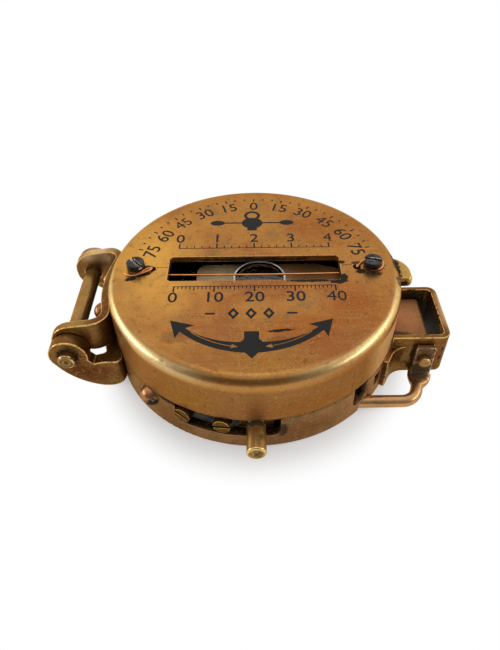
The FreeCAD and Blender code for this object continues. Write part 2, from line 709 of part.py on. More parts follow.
def domed_stud():
    """Round-headed stud riveted through the case wall."""
    return bedded_rivet(STUD_AZ, STUD_Z, STUD_R, (STUD_HEAD_R, STUD_HEAD_H), BODY_R, CASE_BORE)


def hinge_rivets(z, face_r, wall_bore):
    """Two rivets through a hinge strip and the wall behind it."""
    head = (RIVET_HEAD_R, RIVET_HEAD_H)
    return Part.makeCompound(
        [bedded_rivet(rivet_azimuth(side), z, RIVET_R, head, face_r, wall_bore) for side in (-1, 1)]
    )


def rivet_holes(shape, z):
    """Holes for the two hinge rivets."""
    for side in (-1, 1):
        hole = radial_cylinder(rivet_azimuth(side), z, RIVET_R, CASE_BORE - CUT_OVER, BODY_R + CUT_OVER)
        shape = shape.cut(hole)
    return shape


def lower_hinge_bracket():
    """Thick strip on the case wall whose curled ears carry the hinge pin."""
    bends = (LOWER_BEND_IN, LOWER_BEND_OUT)
    strip = bent_strip(LOWER_INNER_Y, LOWER_STRIP, bends, LOWER_WEB_LOW, HINGE_Z + LOWER_BOSS_R)
    heel = by_wall(LOWER_HEEL)
    sole = by_wall((LOWER_SOLE_OUT, LOWER_WEB_LOW))
    toe = by_wall((LOWER_TOE_OUT, LOWER_WEB_LOW))
    nose = by_wall(LOWER_NOSE)
    notch_top = by_wall(LOWER_NOTCH_TOP)
    notch_low = by_wall(LOWER_NOTCH_LOW)
    notch_end = by_wall((LOWER_NOTCH_END_OUT, LOWER_WEB_HIGH))
    pin = (HINGE_X, HINGE_Z)
    ear = [
        line((0.0, LOWER_HEEL[1]), heel),
        arc(heel, by_wall(LOWER_HEEL_BEND), sole),
        line(sole, toe),
        arc(toe, by_wall(LOWER_TOE_BEND), nose),
        line(nose, pin),
        line(pin, notch_top),
        line(notch_top, notch_low),
        line(notch_low, notch_end),
        line(notch_end, (0.0, LOWER_WEB_HIGH)),
        line((0.0, LOWER_WEB_HIGH), (0.0, LOWER_HEEL[1])),
    ]
    outline = side_profile(ear, -BODY_R, BODY_R)
    outline = outline.fuse(cylinder_y(LOWER_BOSS_R, -BODY_R, BODY_R, HINGE_X, HINGE_Z))
    bracket = strip.common(outline)
    bracket = bracket.cut(cylinder_y(HINGE_PIN_R, -BODY_R, BODY_R, HINGE_X, HINGE_Z))
    return rivet_holes(bracket, LOWER_RIVET_Z)


def upper_hinge_bracket():
    """Strip on the lid wall whose ears turn on the hinge pin, inside the lower ears."""
    bends = (UPPER_BEND_IN, UPPER_BEND_OUT)
    strip = bent_strip(UPPER_INNER_Y, UPPER_STRIP, bends, HINGE_Z - UPPER_EAR_R, UPPER_WEB_HIGH)
    heel = (HINGE_X + UPPER_EAR_R - UPPER_EAR_HEEL, UPPER_WEB_LOW)
    left = (HINGE_X - UPPER_EAR_R, HINGE_Z)
    cheek = (HINGE_X - UPPER_EAR_CHEEK_X, HINGE_Z + UPPER_EAR_CHEEK_Z)
    crest = (HINGE_X + UPPER_EAR_CREST, HINGE_Z + UPPER_EAR_TOP)
    shoulder = (HINGE_X + UPPER_EAR_SLOPE, UPPER_WEB_HIGH)
    ear = [
        line((0.0, UPPER_WEB_LOW), heel),
        arc(heel, (HINGE_X, HINGE_Z - UPPER_EAR_R), left),
        arc(left, cheek, crest),
        line(crest, shoulder),
        line(shoulder, (0.0, UPPER_WEB_HIGH)),
        line((0.0, UPPER_WEB_HIGH), (0.0, UPPER_WEB_LOW)),
    ]
    bracket = strip.common(side_profile(ear, -BODY_R, BODY_R))
    bracket = bracket.cut(cylinder_y(HINGE_PIN_R + RUN_CLEAR, -BODY_R, BODY_R, HINGE_X, HINGE_Z))
    return rivet_holes(bracket, UPPER_RIVET_Z)


def pin_with_marks(radius, y_near, y_far, x, z, mark_r):
    """Pin along Y with chamfered ends and a centre mark in each."""
    pin = cylinder_y(radius, y_near, y_far, x, z)
    pin = pin.makeChamfer(PIN_CHAMFER, [e for e in pin.Edges if e.BoundBox.YLength < TOUCH])
    for y, direction in ((y_near, ALONG_Y), (y_far, -ALONG_Y)):
        pin = pin.cut(Part.makeCone(mark_r, 0.0, mark_r, Vector(x, y, z), direction))
    return pin


def hinge_pin():
    """Pin of the lid hinge, held in the lower bracket's ears."""
    return pin_with_marks(HINGE_PIN_R, -HINGE_PIN_Y, HINGE_PIN_Y, HINGE_X, HINGE_Z, PIN_DIMPLE_R)


def box_bracket():
    """Rectangular frame on the case wall, open above and below, with a foot on each side."""
    outer = block(0.0, BOX_END_X, BOX_NEAR_Y, BOX_FAR_Y, BOX_LOW, BOX_HIGH)
    outer = outer.cut(cylinder(BODY_R, 0.0, BOX_HIGH + CUT_STEP))
    outer = fillet_uprights(outer, BOX_CORNER, BOX_END_X - CUT_STEP, 1)
    feet = sector(
        BODY_R + BOX_STRIP, BODY_R, BOX_LOW, CHAPTER_LOW,
        foot_azimuth(BOX_NEAR_Y, -1), foot_azimuth(BOX_FAR_Y, 1),
    )
    solid = outer.fuse(feet).removeSplitter()
    for wall_y, flare in ((BOX_NEAR_Y, BOX_NEAR_FLARE), (BOX_FAR_Y, BOX_FAR_FLARE)):
        joins = []
        for edge in solid.Edges:
            box = edge.BoundBox
            at_foot = abs(math.hypot(box.XMin, box.YMin) - BODY_R - BOX_STRIP) < TOUCH * 2.0
            if is_upright(edge) and at_foot and abs(box.YMin - wall_y) < TOUCH * 2.0:
                joins.append(edge)
        solid = solid.makeFillet(flare, joins)
    inner_end = BOX_END_X - BOX_END_STRIP
    inner_near = BOX_NEAR_Y + BOX_STRIP
    hollow = block(0.0, inner_end, inner_near, BOX_FAR_Y - BOX_STRIP, 0.0, BOX_HIGH + CUT_STEP)
    hollow = fillet_uprights(hollow, BOX_CORNER - BOX_STRIP, inner_end - CUT_STEP, 1)
    solid = solid.cut(hollow)
    solid = solid.cut(cylinder(BODY_R + SIDE_CLEAR, CHAPTER_LOW, BOX_HIGH + CUT_STEP))
    return solid.cut(cylinder_y(BOX_PIN_R, -BODY_R, BODY_R, BOX_PIN_X, BOX_PIN_Z))


def foot_azimuth(wall_y, side):
    """Azimuth where a foot of the box bracket ends."""
    wall = 90.0 + math.degrees(math.asin(wall_y / BODY_R))
    return wall + side * math.degrees(FOOT_SPREAD / BODY_R)


def box_pin():
    """Pin of the lens arm and the bail."""
    reach = TAG_OUT + BOX_PIN_PROUD
    near = BOX_MID_Y - reach
    far = BOX_MID_Y + reach
    return pin_with_marks(BOX_PIN_R, near, far, BOX_PIN_X, BOX_PIN_Z, PIN_CHAMFER)


def bail_half_wire():
    """Wire of the bail from its near tag to the middle of its far end, in its own plane."""
    leave = Vector(TAG_X, -(TAG_IN + TAG_OUT) / 2.0, BAIL_Z)
    bend = Vector(BAIL_LEAVE_X, -BAIL_HALF, BAIL_Z)
    corner = Vector(BAIL_END_X, -BAIL_HALF, BAIL_Z)
    middle = Vector(BAIL_END_X, 0.0, BAIL_Z)
    towards = (leave - bend).normalize()
    inward = Vector(-1, 0, 0)
    half_turn = math.acos(towards.dot(inward)) / 2.0
    bisector = (towards + inward).normalize()
    centre = bend + bisector * (BAIL_SIDE_BEND / math.sin(half_turn))
    trim = BAIL_SIDE_BEND / math.tan(half_turn)
    arc_in = bend + towards * trim
    arc_out = bend + inward * trim
    end_in = corner + Vector(BAIL_END_BEND, 0, 0)
    end_out = corner + Vector(0, BAIL_END_BEND, 0)
    end_centre = corner + Vector(BAIL_END_BEND, BAIL_END_BEND, 0)
    end_mid = end_centre + Vector(-1, -1, 0).normalize() * BAIL_END_BEND
    start = leave - towards * NECK_LENGTH
    edges = [
        Part.makeLine(start, arc_in),
        Part.Arc(arc_in, centre - bisector * BAIL_SIDE_BEND, arc_out).toShape(),
        Part.makeLine(arc_out, end_in),
        Part.Arc(end_in, end_mid, end_out).toShape(),
        Part.makeLine(end_out, middle),
    ]
    circle = Part.makeCircle(BAIL_WIRE_R, start, towards)
    pipe = Part.Wire(edges).makePipeShell([Part.Wire([circle])], True, False)
    return pipe.fuse(bail_neck(leave, towards * -1.0))


def bail_neck(start, direction):
    """Flattened stretch of the wire that turns up into the tag."""
    across = direction.cross(UP).normalize()
    sections = []
    for place in (0.0, NECK_FLAT):
        centre = start + direction * place
        oval = Part.Ellipse(centre + across * NECK_HALF_WIDTH, centre + UP * NECK_HALF_THICK, centre)
        sections.append(Part.Wire([oval.toShape()]))
    oval = Part.Circle(start + direction * NECK_LENGTH, oval.Axis, BAIL_WIRE_R)
    oval.XAxis = across
    sections.append(Part.Wire([oval.toShape()]))
    return Part.makeLoft(sections, True)


def bail_tag():
    """Flat tag that hangs on the box pin, in the near half's own frame."""
    low = BAIL_Z - NECK_HALF_THICK
    high = BOX_PIN_Z + TAG_TOP
    tag = block(TAG_X - TAG_WIDTH / 2.0, TAG_X + TAG_WIDTH / 2.0, -TAG_OUT, -TAG_IN, low, high)
    top = []
    for edge in tag.Edges:
        if edge.BoundBox.ZMin > high - TOUCH and edge.BoundBox.XLength < TOUCH:
            top.append(edge)
    return tag.makeFillet(TAG_CORNER, top)


def thumb_bail():
    """Wire loop with a flat tag at each end, folded under the case."""
    near = bail_half_wire().fuse(bail_tag())
    near = near.cut(block(BODY_R, BOX_END_X, -TAG_IN, TAG_IN, 0.0, BOX_HIGH))
    near = near.cut(cylinder_y(BOX_PIN_R + RUN_CLEAR, -BODY_R, BODY_R, BOX_PIN_X, BOX_PIN_Z))
    far = near.mirror(Vector(0, 0, 0), ALONG_Y)
    bail = near.fuse(far)
    bail.translate(Vector(0, BOX_MID_Y, 0))
    return bail


def lens_arm():
    """Cranked strip: an eye for the lens, a leg and a knuckle round the box pin."""
    near = ARM_CENTRE_Y - ARM_HALF_WIDTH
    far = ARM_CENTRE_Y + ARM_HALF_WIDTH
    plan = [
        Vector(ARM_TIP_X, near, 0), Vector(ARM_TAPER_X, near, 0),
        Vector(ARM_LEG_X - ARM_THICK, KNUCKLE_NEAR_Y, 0), Vector(ARM_LEG_X, KNUCKLE_NEAR_Y, 0),
        Vector(ARM_LEG_X, KNUCKLE_FAR_Y, 0), Vector(ARM_LEG_X - ARM_THICK, KNUCKLE_FAR_Y, 0),
        Vector(ARM_TAPER_X, far, 0), Vector(ARM_TIP_X, far, 0),
    ]
    strip = Part.Face(Part.makePolygon(plan + plan[:1])).extrude(Vector(0, 0, ARM_THICK))
    strip.translate(Vector(0, 0, ARM_UNDER_Z))
    strip = fillet_uprights(strip, ARM_TIP_CORNER, ARM_TIP_X + CUT_STEP, -1)
    seat = cylinder(LENS_SEAT_R, ARM_UNDER_Z - CUT_STEP, ARM_TOP_Z + CUT_STEP, LENS_X, ARM_CENTRE_Y)
    strip = strip.cut(seat)
    span = (KNUCKLE_NEAR_Y, KNUCKLE_FAR_Y)
    leg_in = ARM_LEG_X - ARM_THICK
    leg = block(leg_in, ARM_LEG_X, span[0], span[1], ARM_LOW_Z, ARM_TOP_Z)
    foot = block(leg_in, ARM_OUTER_X, span[0], span[1], ARM_LOW_Z, ARM_LOW_TOP_Z)
    hook = block(BOX_PIN_X - KNUCKLE_R / 2.0, ARM_OUTER_X, span[0], span[1], BOX_PIN_Z, ARM_LOW_TOP_Z)
    plate = foot.fuse(hook).removeSplitter()
    plate = fillet_uprights(plate, ARM_ROUND, ARM_OUTER_X - TOUCH, 1)
    outer = []
    for edge in top_edges(plate, ARM_LOW_TOP_Z):
        if edge.BoundBox.XMin > ARM_OUTER_X - ARM_ROUND - TOUCH:
            outer.append(edge)
    plate = plate.makeFillet(ARM_EDGE_ROUND, outer)
    barrel = cylinder_y(KNUCKLE_R, KNUCKLE_NEAR_Y, KNUCKLE_FAR_Y, BOX_PIN_X, BOX_PIN_Z)
    arm = strip.fuse(leg).fuse(plate).fuse(barrel)
    return arm.cut(cylinder_y(BOX_PIN_R + RUN_CLEAR, -BODY_R, BODY_R, BOX_PIN_X, BOX_PIN_Z))


def lens():
    """Clear lens with a crowned top and a bevelled edge, seated on the arm."""
    edge_top = ARM_TOP_Z + LENS_EDGE
    disc = cylinder(LENS_R, ARM_TOP_Z, edge_top, LENS_X, ARM_CENTRE_Y)
    crown_r = LENS_R - LENS_CROWN
    ball_r = (crown_r * crown_r + LENS_CROWN * LENS_CROWN) / (2.0 * LENS_CROWN)
    ball = Part.makeSphere(ball_r, Vector(LENS_X, ARM_CENTRE_Y, edge_top + LENS_CROWN - ball_r))
    core = cylinder(crown_r, ARM_TOP_Z, edge_top + LENS_CROWN + CUT_STEP, LENS_X, ARM_CENTRE_Y)
    return disc.fuse(ball.common(core))


def lid_body():
    """Lid's outside, with its rounded shoulder."""
    body = cylinder(BODY_R, LID_LOW, LID_TOP_Z)
    return body.makeFillet(LID_SHOULDER, top_edges(body, LID_TOP_Z))


def lid_shell():
    """Lid: turned cover with a window, wire holes and screw holes."""
    shell = lid_body()
    hollow = cylinder(LID_BORE, LID_LOW - CUT_STEP, LID_UNDER)
    hollow = hollow.makeFillet(LID_INNER_SHOULDER, top_edges(hollow, LID_UNDER))
    shell = shell.cut(hollow)
    half_x = WINDOW_LENGTH / 2.0
    half_y = WINDOW_WIDTH / 2.0
    below = LID_UNDER - CUT_STEP
    above = LID_TOP_Z + CUT_STEP
    window = block(-half_x, half_x, -half_y, half_y, below, above)
    shell = shell.cut(window.makeFillet(WINDOW_CORNER, [e for e in window.Edges if is_upright(e)]))
    for side in (-1, 1):
        shell = shell.cut(cylinder(WIRE_HOLE_R, below, above, side * WIRE_HOLE_X))
        shell = shell.cut(cylinder(WIRE_SCREW_R, below, above, side * WIRE_SCREW_X))
    shell = shell.cut(arm_passage(LID_LOW - CUT_STEP, ARM_LOW_TOP_Z + SIDE_CLEAR))
    return rivet_holes(shell, UPPER_RIVET_Z)


def wire_piece(start, end):
    """Straight piece of the sighting wire with round ends."""
    run = end - start
    piece = Part.makeCylinder(WIRE_R, run.Length, start, run)
    return piece.fuse(Part.makeSphere(WIRE_R, start)).fuse(Part.makeSphere(WIRE_R, end))


def sight_wire():
    """Copper wire under the window, led up through the holes and once round each screw."""
    top_z = LID_TOP_Z + WIRE_R
    wire = wire_piece(Vector(-WIRE_HOLE_X, 0, WIRE_Z), Vector(WIRE_HOLE_X, 0, WIRE_Z))
    for side in (-1, 1):
        hole = Vector(side * WIRE_HOLE_X, 0, top_z)
        screw = Vector(side * WIRE_SCREW_X, 0, top_z)
        loop_side = Vector(0, side * WIRE_LOOP_R, 0)
        wire = wire.fuse(wire_piece(Vector(hole.x, 0, WIRE_Z), hole))
        wire = wire.fuse(wire_piece(hole, screw + loop_side))
        wire = wire.fuse(Part.makeTorus(WIRE_LOOP_R, WIRE_R, screw, UP))
        if side < 0:
            tail = screw + loop_side + Vector(-WIRE_TAIL_BACK, WIRE_TAIL_ASIDE, 0)
            wire = wire.fuse(wire_piece(screw + loop_side, tail))
    return wire


def wire_screws():
    """Two blackened screws that clamp the wire's loops on the lid."""
    screws = []
    head_low = LID_TOP_Z + 2.0 * WIRE_R
    head_high = head_low + WIRE_SCREW_HEAD_H
    for side, turn in ((-1, LEFT_SLOT_TURN), (1, RIGHT_SLOT_TURN)):
        x = side * WIRE_SCREW_X
        head = cylinder(WIRE_SCREW_HEAD_R, head_low, head_high, x)
        head = head.makeFillet(WIRE_SCREW_EDGE, top_edges(head, head_high))
        half = SLOT_WIDTH / 2.0
        slot = block(-CUT_OVER, CUT_OVER, -half, half, head_high - SLOT_DEPTH, head_high + CUT_STEP)
        slot.rotate(Vector(0, 0, 0), UP, turn)
        slot.translate(Vector(x, 0, 0))
        screws.append(head.cut(slot).fuse(cylinder(WIRE_SCREW_R, LID_UNDER, head_low, x)))
    return Part.makeCompound(screws)


def thumb_tab():
    """Rounded lip on the lid's rim, to lift it by."""
    end_x = BODY_R + TAB_REACH
    root_x = BODY_R - TAB_FAR_CORNER
    lip = block(root_x, end_x, TAB_NEAR_Y, TAB_FAR_Y, TAB_TOP_Z - TAB_THICK, TAB_TOP_Z)
    for radius, y in ((TAB_NEAR_CORNER, TAB_NEAR_Y), (TAB_FAR_CORNER, TAB_FAR_Y)):
        corner = []
        for edge in lip.Edges:
            box = edge.BoundBox
            if is_upright(edge) and box.XMin > end_x - TOUCH and abs(box.YMin - y) < TOUCH:
                corner.append(edge)
        lip = lip.makeFillet(radius, corner)
    rim = []
    for edge in lip.Edges:
        if edge.BoundBox.ZLength < TOUCH and edge.BoundBox.XMax > root_x + TOUCH:
            rim.append(edge)
    lip = lip.makeFillet(TAB_ROUND, rim)
    return lip.cut(lid_body())


def main():
    """Build every piece and write it."""
    os.makedirs("parts", exist_ok=True)
    save("case_shell", case_shell())
    save("compass_bowl", compass_bowl())
    save("dial_glass", dial_glass())
    save("glass_bezel", glass_bezel())
    save("chapter_ring", chapter_ring())
    save("chapter_posts", chapter_posts())
    save("pivot_post", pivot_post())
    save("pivot_point", pivot_point())
    save("compass_card", compass_card())
    save("needle_magnet", needle_magnet())
    save("card_hub", card_hub())
    save("pivot_jewel", jewel())
    save("push_rod", push_rod())
    save("rod_clip", rod_clip())
    save("rod_spring", rod_spring())
    save("guide_block", guide_block())
    save("clamp_plate", clamp_plate())
    save("clamp_screws", clamp_screws())
    save("brake_lever", brake_lever())
    save("brake_pin", brake_pin())
    save("domed_stud", domed_stud())
    save("lower_hinge_bracket", lower_hinge_bracket())
    save("lower_rivets", hinge_rivets(LOWER_RIVET_Z, BODY_R + LOWER_STRIP, CASE_BORE))
    save("hinge_pin", hinge_pin())
    save("box_bracket", box_bracket())
    save("box_pin", box_pin())
    save("thumb_bail", thumb_bail())
    save("lens_arm", lens_arm())
    save("lens", lens())
    save("lid_shell", lid_shell())
    save("sight_wire", sight_wire())
    save("wire_screws", wire_screws())
    save("thumb_tab", thumb_tab())
    save("upper_hinge_bracket", upper_hinge_bracket())
    save("upper_rivets", hinge_rivets(UPPER_RIVET_Z, BODY_R + UPPER_STRIP, LID_BORE))


main()
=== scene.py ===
"""A pocket compass in aged brass, closed and lying on its base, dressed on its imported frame.

Sizes are millimetres, angles degrees and colours 0 to 255. What Blender gets is in metres, radians and linear
colours.
"""

from __future__ import annotations

import json
import logging
import math
from collections.abc import Callable
from dataclasses import dataclass, field
from enum import Enum

import bpy
from mathutils import Matrix, Vector

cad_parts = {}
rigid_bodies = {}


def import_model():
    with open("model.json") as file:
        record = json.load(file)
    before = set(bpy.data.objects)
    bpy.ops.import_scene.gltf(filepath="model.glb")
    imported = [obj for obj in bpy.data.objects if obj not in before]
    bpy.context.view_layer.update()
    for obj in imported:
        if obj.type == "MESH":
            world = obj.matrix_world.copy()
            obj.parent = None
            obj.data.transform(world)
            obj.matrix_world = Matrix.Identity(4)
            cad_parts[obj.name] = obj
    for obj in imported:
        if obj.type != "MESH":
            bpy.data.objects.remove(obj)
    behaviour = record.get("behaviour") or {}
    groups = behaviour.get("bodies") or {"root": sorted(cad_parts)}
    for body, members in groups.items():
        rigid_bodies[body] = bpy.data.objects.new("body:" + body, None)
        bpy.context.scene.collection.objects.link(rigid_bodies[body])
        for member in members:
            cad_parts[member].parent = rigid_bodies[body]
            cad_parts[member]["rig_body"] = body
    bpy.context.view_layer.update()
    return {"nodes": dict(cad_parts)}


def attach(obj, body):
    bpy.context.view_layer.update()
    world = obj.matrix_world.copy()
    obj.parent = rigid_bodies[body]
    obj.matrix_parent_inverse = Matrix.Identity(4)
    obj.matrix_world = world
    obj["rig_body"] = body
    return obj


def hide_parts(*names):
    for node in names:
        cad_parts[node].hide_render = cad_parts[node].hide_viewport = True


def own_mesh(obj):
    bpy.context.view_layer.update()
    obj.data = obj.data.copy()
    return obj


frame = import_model()

MM = 0.001

Triple = tuple[float, float, float]
Point = tuple[float, float]
Linear = tuple[float, float, float, float]
Layer = tuple[Triple, "Signal"]

LID_TOP = 24.3
SOOT: Triple = (24, 17, 12)
# The colour of the shade painted in inner corners, which also stands for grime there
CORNER_SHADE_AND_GRIME: Triple = (22, 16, 11)
OCTAVE_SHARE = 0.6
MERGE_WITHIN = 0.002
FLAT_WITHIN = 0.4
SMOOTH_TO = 34.0
MOST_WEIGHT_OF_4 = 0.0009

log = logging.getLogger("compass")


class Axis(Enum):
    """The way in which a piece was brushed or drawn: streaks for each millimetre along x, y and z."""

    ALONG_X = (0.10, 2.6, 2.6)
    ALONG_Y = (2.6, 0.10, 2.6)
    ROUND_WALL = (0.10, 0.10, 2.6)
    CAST = (0.9, 0.9, 0.9)


# Shader maths


class Signal:
    """A number on a shader socket. Each operator adds its Math node."""

    def __init__(self, bench: Bench, socket: bpy.types.NodeSocket) -> None:
        """Keeps the socket and the bench that its nodes go on."""
        self.bench = bench
        self.socket = socket

    def _math(self, operation: str, *terms: Signal | float) -> Signal:
        """Adds one Math node.

        Args:
            operation: The node's operation.
            terms: Its inputs in order.

        Returns:
            The node's result.
        """
        node = self.bench.node("ShaderNodeMath", {"operation": operation}, dict(enumerate(terms)))
        return Signal(self.bench, node.outputs[0])

    def __add__(self, other: Signal | float) -> Signal:
        """This plus other."""
        return self._math("ADD", self, other)

    def __sub__(self, other: Signal | float) -> Signal:
        """This less other."""
        return self._math("SUBTRACT", self, other)

    def __rsub__(self, other: Signal | float) -> Signal:
        """Other less this."""
        return self._math("SUBTRACT", other, self)

    def __mul__(self, other: Signal | float) -> Signal:
        """This times other."""
        return self._math("MULTIPLY", self, other)

    def __truediv__(self, other: Signal | float) -> Signal:
        """This over other."""
        return self._math("DIVIDE", self, other)

    def __rtruediv__(self, other: Signal | float) -> Signal:
        """Other over this."""
        return self._math("DIVIDE", other, self)

    def __pow__(self, other: Signal | float) -> Signal:
        """This to the power of other."""
        return self._math("POWER", self, other)

    def __rpow__(self, other: Signal | float) -> Signal:
        """Other to the power of this."""
        return self._math("POWER", other, self)

    __radd__ = __add__
    __rmul__ = __mul__

    def at_most(self, other: Signal | float) -> Signal:
        """The smaller of the two."""
        return self._math("MINIMUM", self, other)

    def at_least(self, other: Signal | float) -> Signal:
        """The larger of the two."""
        return self._math("MAXIMUM", self, other)

    def ramp(self, low: float, high: float, start: float = 0.0, end: float = 1.0) -> Signal:
        """Eases from start to end as this goes from low to high.

        Args:
            low: Where the change begins.
            high: Where it ends.
            start: The value up to low.
            end: The value from high.

        Returns:
            The eased number.
        """
        node = self.bench.node(
            "ShaderNodeMapRange",
            {"interpolation_type": "SMOOTHSTEP"},
            {"Value": self, "From Min": low, "From Max": high, "To Min": start, "To Max": end},
        )
        return Signal(self.bench, node.outputs["Result"])

    def fall(self, low: float, high: float) -> Signal:
        """Eases from 1 to 0 as this goes from low to high."""
        return self.ramp(low, high, 1.0, 0.0)


def srgb(colour: Triple) -> Linear:
    """Turns a colour of 0 to 255 into the linear one that a socket takes.

    Args:
        colour: Red, green and blue as seen on a screen.

    Returns:
        The linear colour with full alpha.
    """
    parts = [c / 255 for c in colour]
    linear = [c / 12.92 if c <= 0.04045 else ((c + 0.055) / 1.055) ** 2.4 for c in parts]
    return (linear[0], linear[1], linear[2], 1.0)


class Bench:
    """The nodes of one material, or of the surroundings."""

    def __init__(self, title: str, owner: bpy.types.World | None = None) -> None:
        """Starts an empty material, or empties the owner's nodes.

        Args:
            title: The material's name.
            owner: The surroundings, where the nodes are theirs.
        """
        self.material = owner or bpy.data.materials.new(title)
        self.material.use_nodes = True
        self.tree = self.material.node_tree
        self.tree.nodes.clear()
        self.place = self.node("ShaderNodeTexCoord").outputs["Object"]

    def node(self, kind: str, settings: dict | None = None, inputs: dict | None = None) -> bpy.types.Node:
        """Adds a node.

        Args:
            kind: The node's type.
            settings: Its settings, which are set before its inputs.
            inputs: Values or links for its sockets, by name or number.

        Returns:
            The node.
        """
        made = self.tree.nodes.new(kind)
        for name, value in (settings or {}).items():
            setattr(made, name, value)
        for name, value in (inputs or {}).items():
            socket = made.inputs[name]
            if isinstance(value, Signal):
                value = value.socket
            if isinstance(value, bpy.types.NodeSocket):
                self.tree.links.new(value, socket)
            else:
                socket.default_value = value
        return made

    def parts(self, vector: bpy.types.NodeSocket) -> tuple[Signal, Signal, Signal]:
        """Splits a vector into its three numbers."""
        node = self.node("ShaderNodeSeparateXYZ", inputs={0: vector})
        return tuple(Signal(self, out) for out in node.outputs)

    def millimetres(self) -> tuple[Signal, Signal, Signal]:
        """The place on the object as x, y and z in millimetres."""
        x, y, z = self.parts(self.place)
        return x / MM, y / MM, z / MM

    def away(self, middle: Point) -> Signal:
        """How far a point lies from an upright line.

        Args:
            middle: Where the line stands, in millimetres.

        Returns:
            The distance in millimetres.
        """
        x, y, _ = self.millimetres()
        across, along = x - middle[0], y - middle[1]
        return (across * across + along * along) ** 0.5

    def stretched(self, pace: Triple) -> bpy.types.NodeSocket:
        """The place on the object, with so many pattern units for each millimetre along x, y and z."""
        scale = tuple(p / MM for p in pace)
        return self.node("ShaderNodeMapping", inputs={"Vector": self.place, "Scale": scale}).outputs[0]

    def noise(self, pace: float | Triple, detail: float, seed: float = 0.0) -> Signal:
        """Cloudy noise around one half.

        Args:
            pace: Features for each millimetre, one number or one for each axis.
            detail: Octaves.
            seed: Shifts the pattern, so that two of them differ.

        Returns:
            The noise.
        """
        pace = pace if isinstance(pace, tuple) else (pace, pace, pace)
        inputs = {"W": seed, "Scale": 1.0, "Detail": detail, "Roughness": OCTAVE_SHARE}
        inputs["Vector"] = self.stretched(pace)
        return Signal(self, self.node("ShaderNodeTexNoise", {"noise_dimensions": "4D"}, inputs).outputs[0])

    def specks(self, pace: float, size: float, seed: float) -> Signal:
        """Scattered round specks, 1 inside.

        Args:
            pace: Cells for each millimetre.
            size: A speck's radius as a share of its cell.
            seed: Shifts the pattern.

        Returns:
            The mask.
        """
        node = self.node(
            "ShaderNodeTexVoronoi",
            {"voronoi_dimensions": "4D"},
            {"Vector": self.stretched((pace, pace, pace)), "W": seed, "Scale": 1.0},
        )
        return Signal(self, node.outputs["Distance"]).fall(size * 0.4, size)

    def blot(self, colour_patch: Stain, ragged: Signal) -> Signal:
        """Where a patch lies, which is a real mark, painted light or painted shade.

        Args:
            colour_patch: The patch.
            ragged: Noise that breaks its edge.

        Returns:
            Its strength in the middle, 0 outside.
        """
        middle, halves = ([c * MM for c in size] for size in (colour_patch.centre, colour_patch.radii))
        turn = (0, 0, -math.radians(colour_patch.turn))
        spot = self.node("ShaderNodeVectorMath", {"operation": "SUBTRACT"}, {0: self.place, 1: middle})
        spot = self.node("ShaderNodeMapping", inputs={"Vector": spot.outputs[0], "Rotation": turn})
        spot = self.node("ShaderNodeVectorMath", {"operation": "DIVIDE"}, {0: spot.outputs[0], 1: halves})
        spot = self.node("ShaderNodeVectorMath", {"operation": "LENGTH"}, {0: spot.outputs[0]})
        frayed, low, high = (0.9, 0.0, 1.1) if colour_patch.soft else (1.5, 0.6, 0.95)
        reach = Signal(self, spot.outputs["Value"]) + (ragged - 0.5) * frayed
        return reach.fall(low, high) * colour_patch.strength

    def crevice(self, depth: float) -> Signal:
        """How far a point lies in an inner corner of its own piece, where shade and grime are painted.

        Args:
            depth: How near the facing wall has to be, in millimetres.

        Returns:
            1 in a deep corner, 0 in the open.
        """
        settings = {"samples": 6, "only_local": True}
        node = self.node("ShaderNodeAmbientOcclusion", settings, {"Distance": depth * MM})
        return 1 - Signal(self, node.outputs["AO"])

    def attribute(self, name: str) -> Signal:
        """A number that the mesh carries."""
        return Signal(self, self.node("ShaderNodeAttribute", {"attribute_name": name}).outputs["Fac"])

    def ray(self, kind: str) -> Signal:
        """1 for rays of that kind: Camera, Glossy or Transmission."""
        return Signal(self, self.node("ShaderNodeLightPath").outputs[f"Is {kind} Ray"])

    def mix(
        self, under: bpy.types.NodeSocket | Linear, over: bpy.types.NodeSocket | Linear, mask: Signal
    ) -> bpy.types.NodeSocket:
        """Lays one colour over another.

        Args:
            under: The lower colour.
            over: The upper one.
            mask: How much of the upper one shows.

        Returns:
            The mixed colour.
        """
        return self.node("ShaderNodeMix", {"data_type": "RGBA"}, {0: mask, 6: under, 7: over}).outputs[2]

    def layered(self, ground: Triple, layers: list[Layer]) -> bpy.types.NodeSocket:
        """Lays tones over a ground, the first one lowest.

        Args:
            ground: The ground's colour, 0 to 255.
            layers: Each tone, 0 to 255, with its mask.

        Returns:
            The colour.
        """
        colour = srgb(ground)
        for tone, mask in layers:
            colour = self.mix(colour, srgb(tone), mask)
        return colour

    def shader(self, **sockets: Signal | bpy.types.NodeSocket | Linear | float) -> bpy.types.NodeSocket:
        """Adds a shader.

        Args:
            sockets: Its inputs, with _ for a space in their names.

        Returns:
            Its output.
        """
        inputs = {name.replace("_", " "): value for name, value in sockets.items()}
        return self.node("ShaderNodeBsdfPrincipled", inputs=inputs).outputs[0]

    def output(self, shader: bpy.types.NodeSocket) -> bpy.types.Material:
        """Links the shader to the material's output and gives the material."""
        self.node("ShaderNodeOutputMaterial", inputs={"Surface": shader})
        return self.material

    def finish(self, **sockets: Signal | bpy.types.NodeSocket | Linear | float) -> bpy.types.Material:
        """Adds a shader with those inputs, as in shader, and the output, and gives the material."""
        return self.output(self.shader(**sockets))

    def blend(
        self, mask: Signal, below: bpy.types.NodeSocket, above: bpy.types.NodeSocket
    ) -> bpy.types.Material:
        """Mixes two shaders and links them to the output.

        Args:
            mask: How much of the second one shows.
            below: The first shader.
            above: The second one.

        Returns:
            The material.
        """
        return self.output(self.node("ShaderNodeMixShader", inputs={0: mask, 1: below, 2: above}).outputs[0])

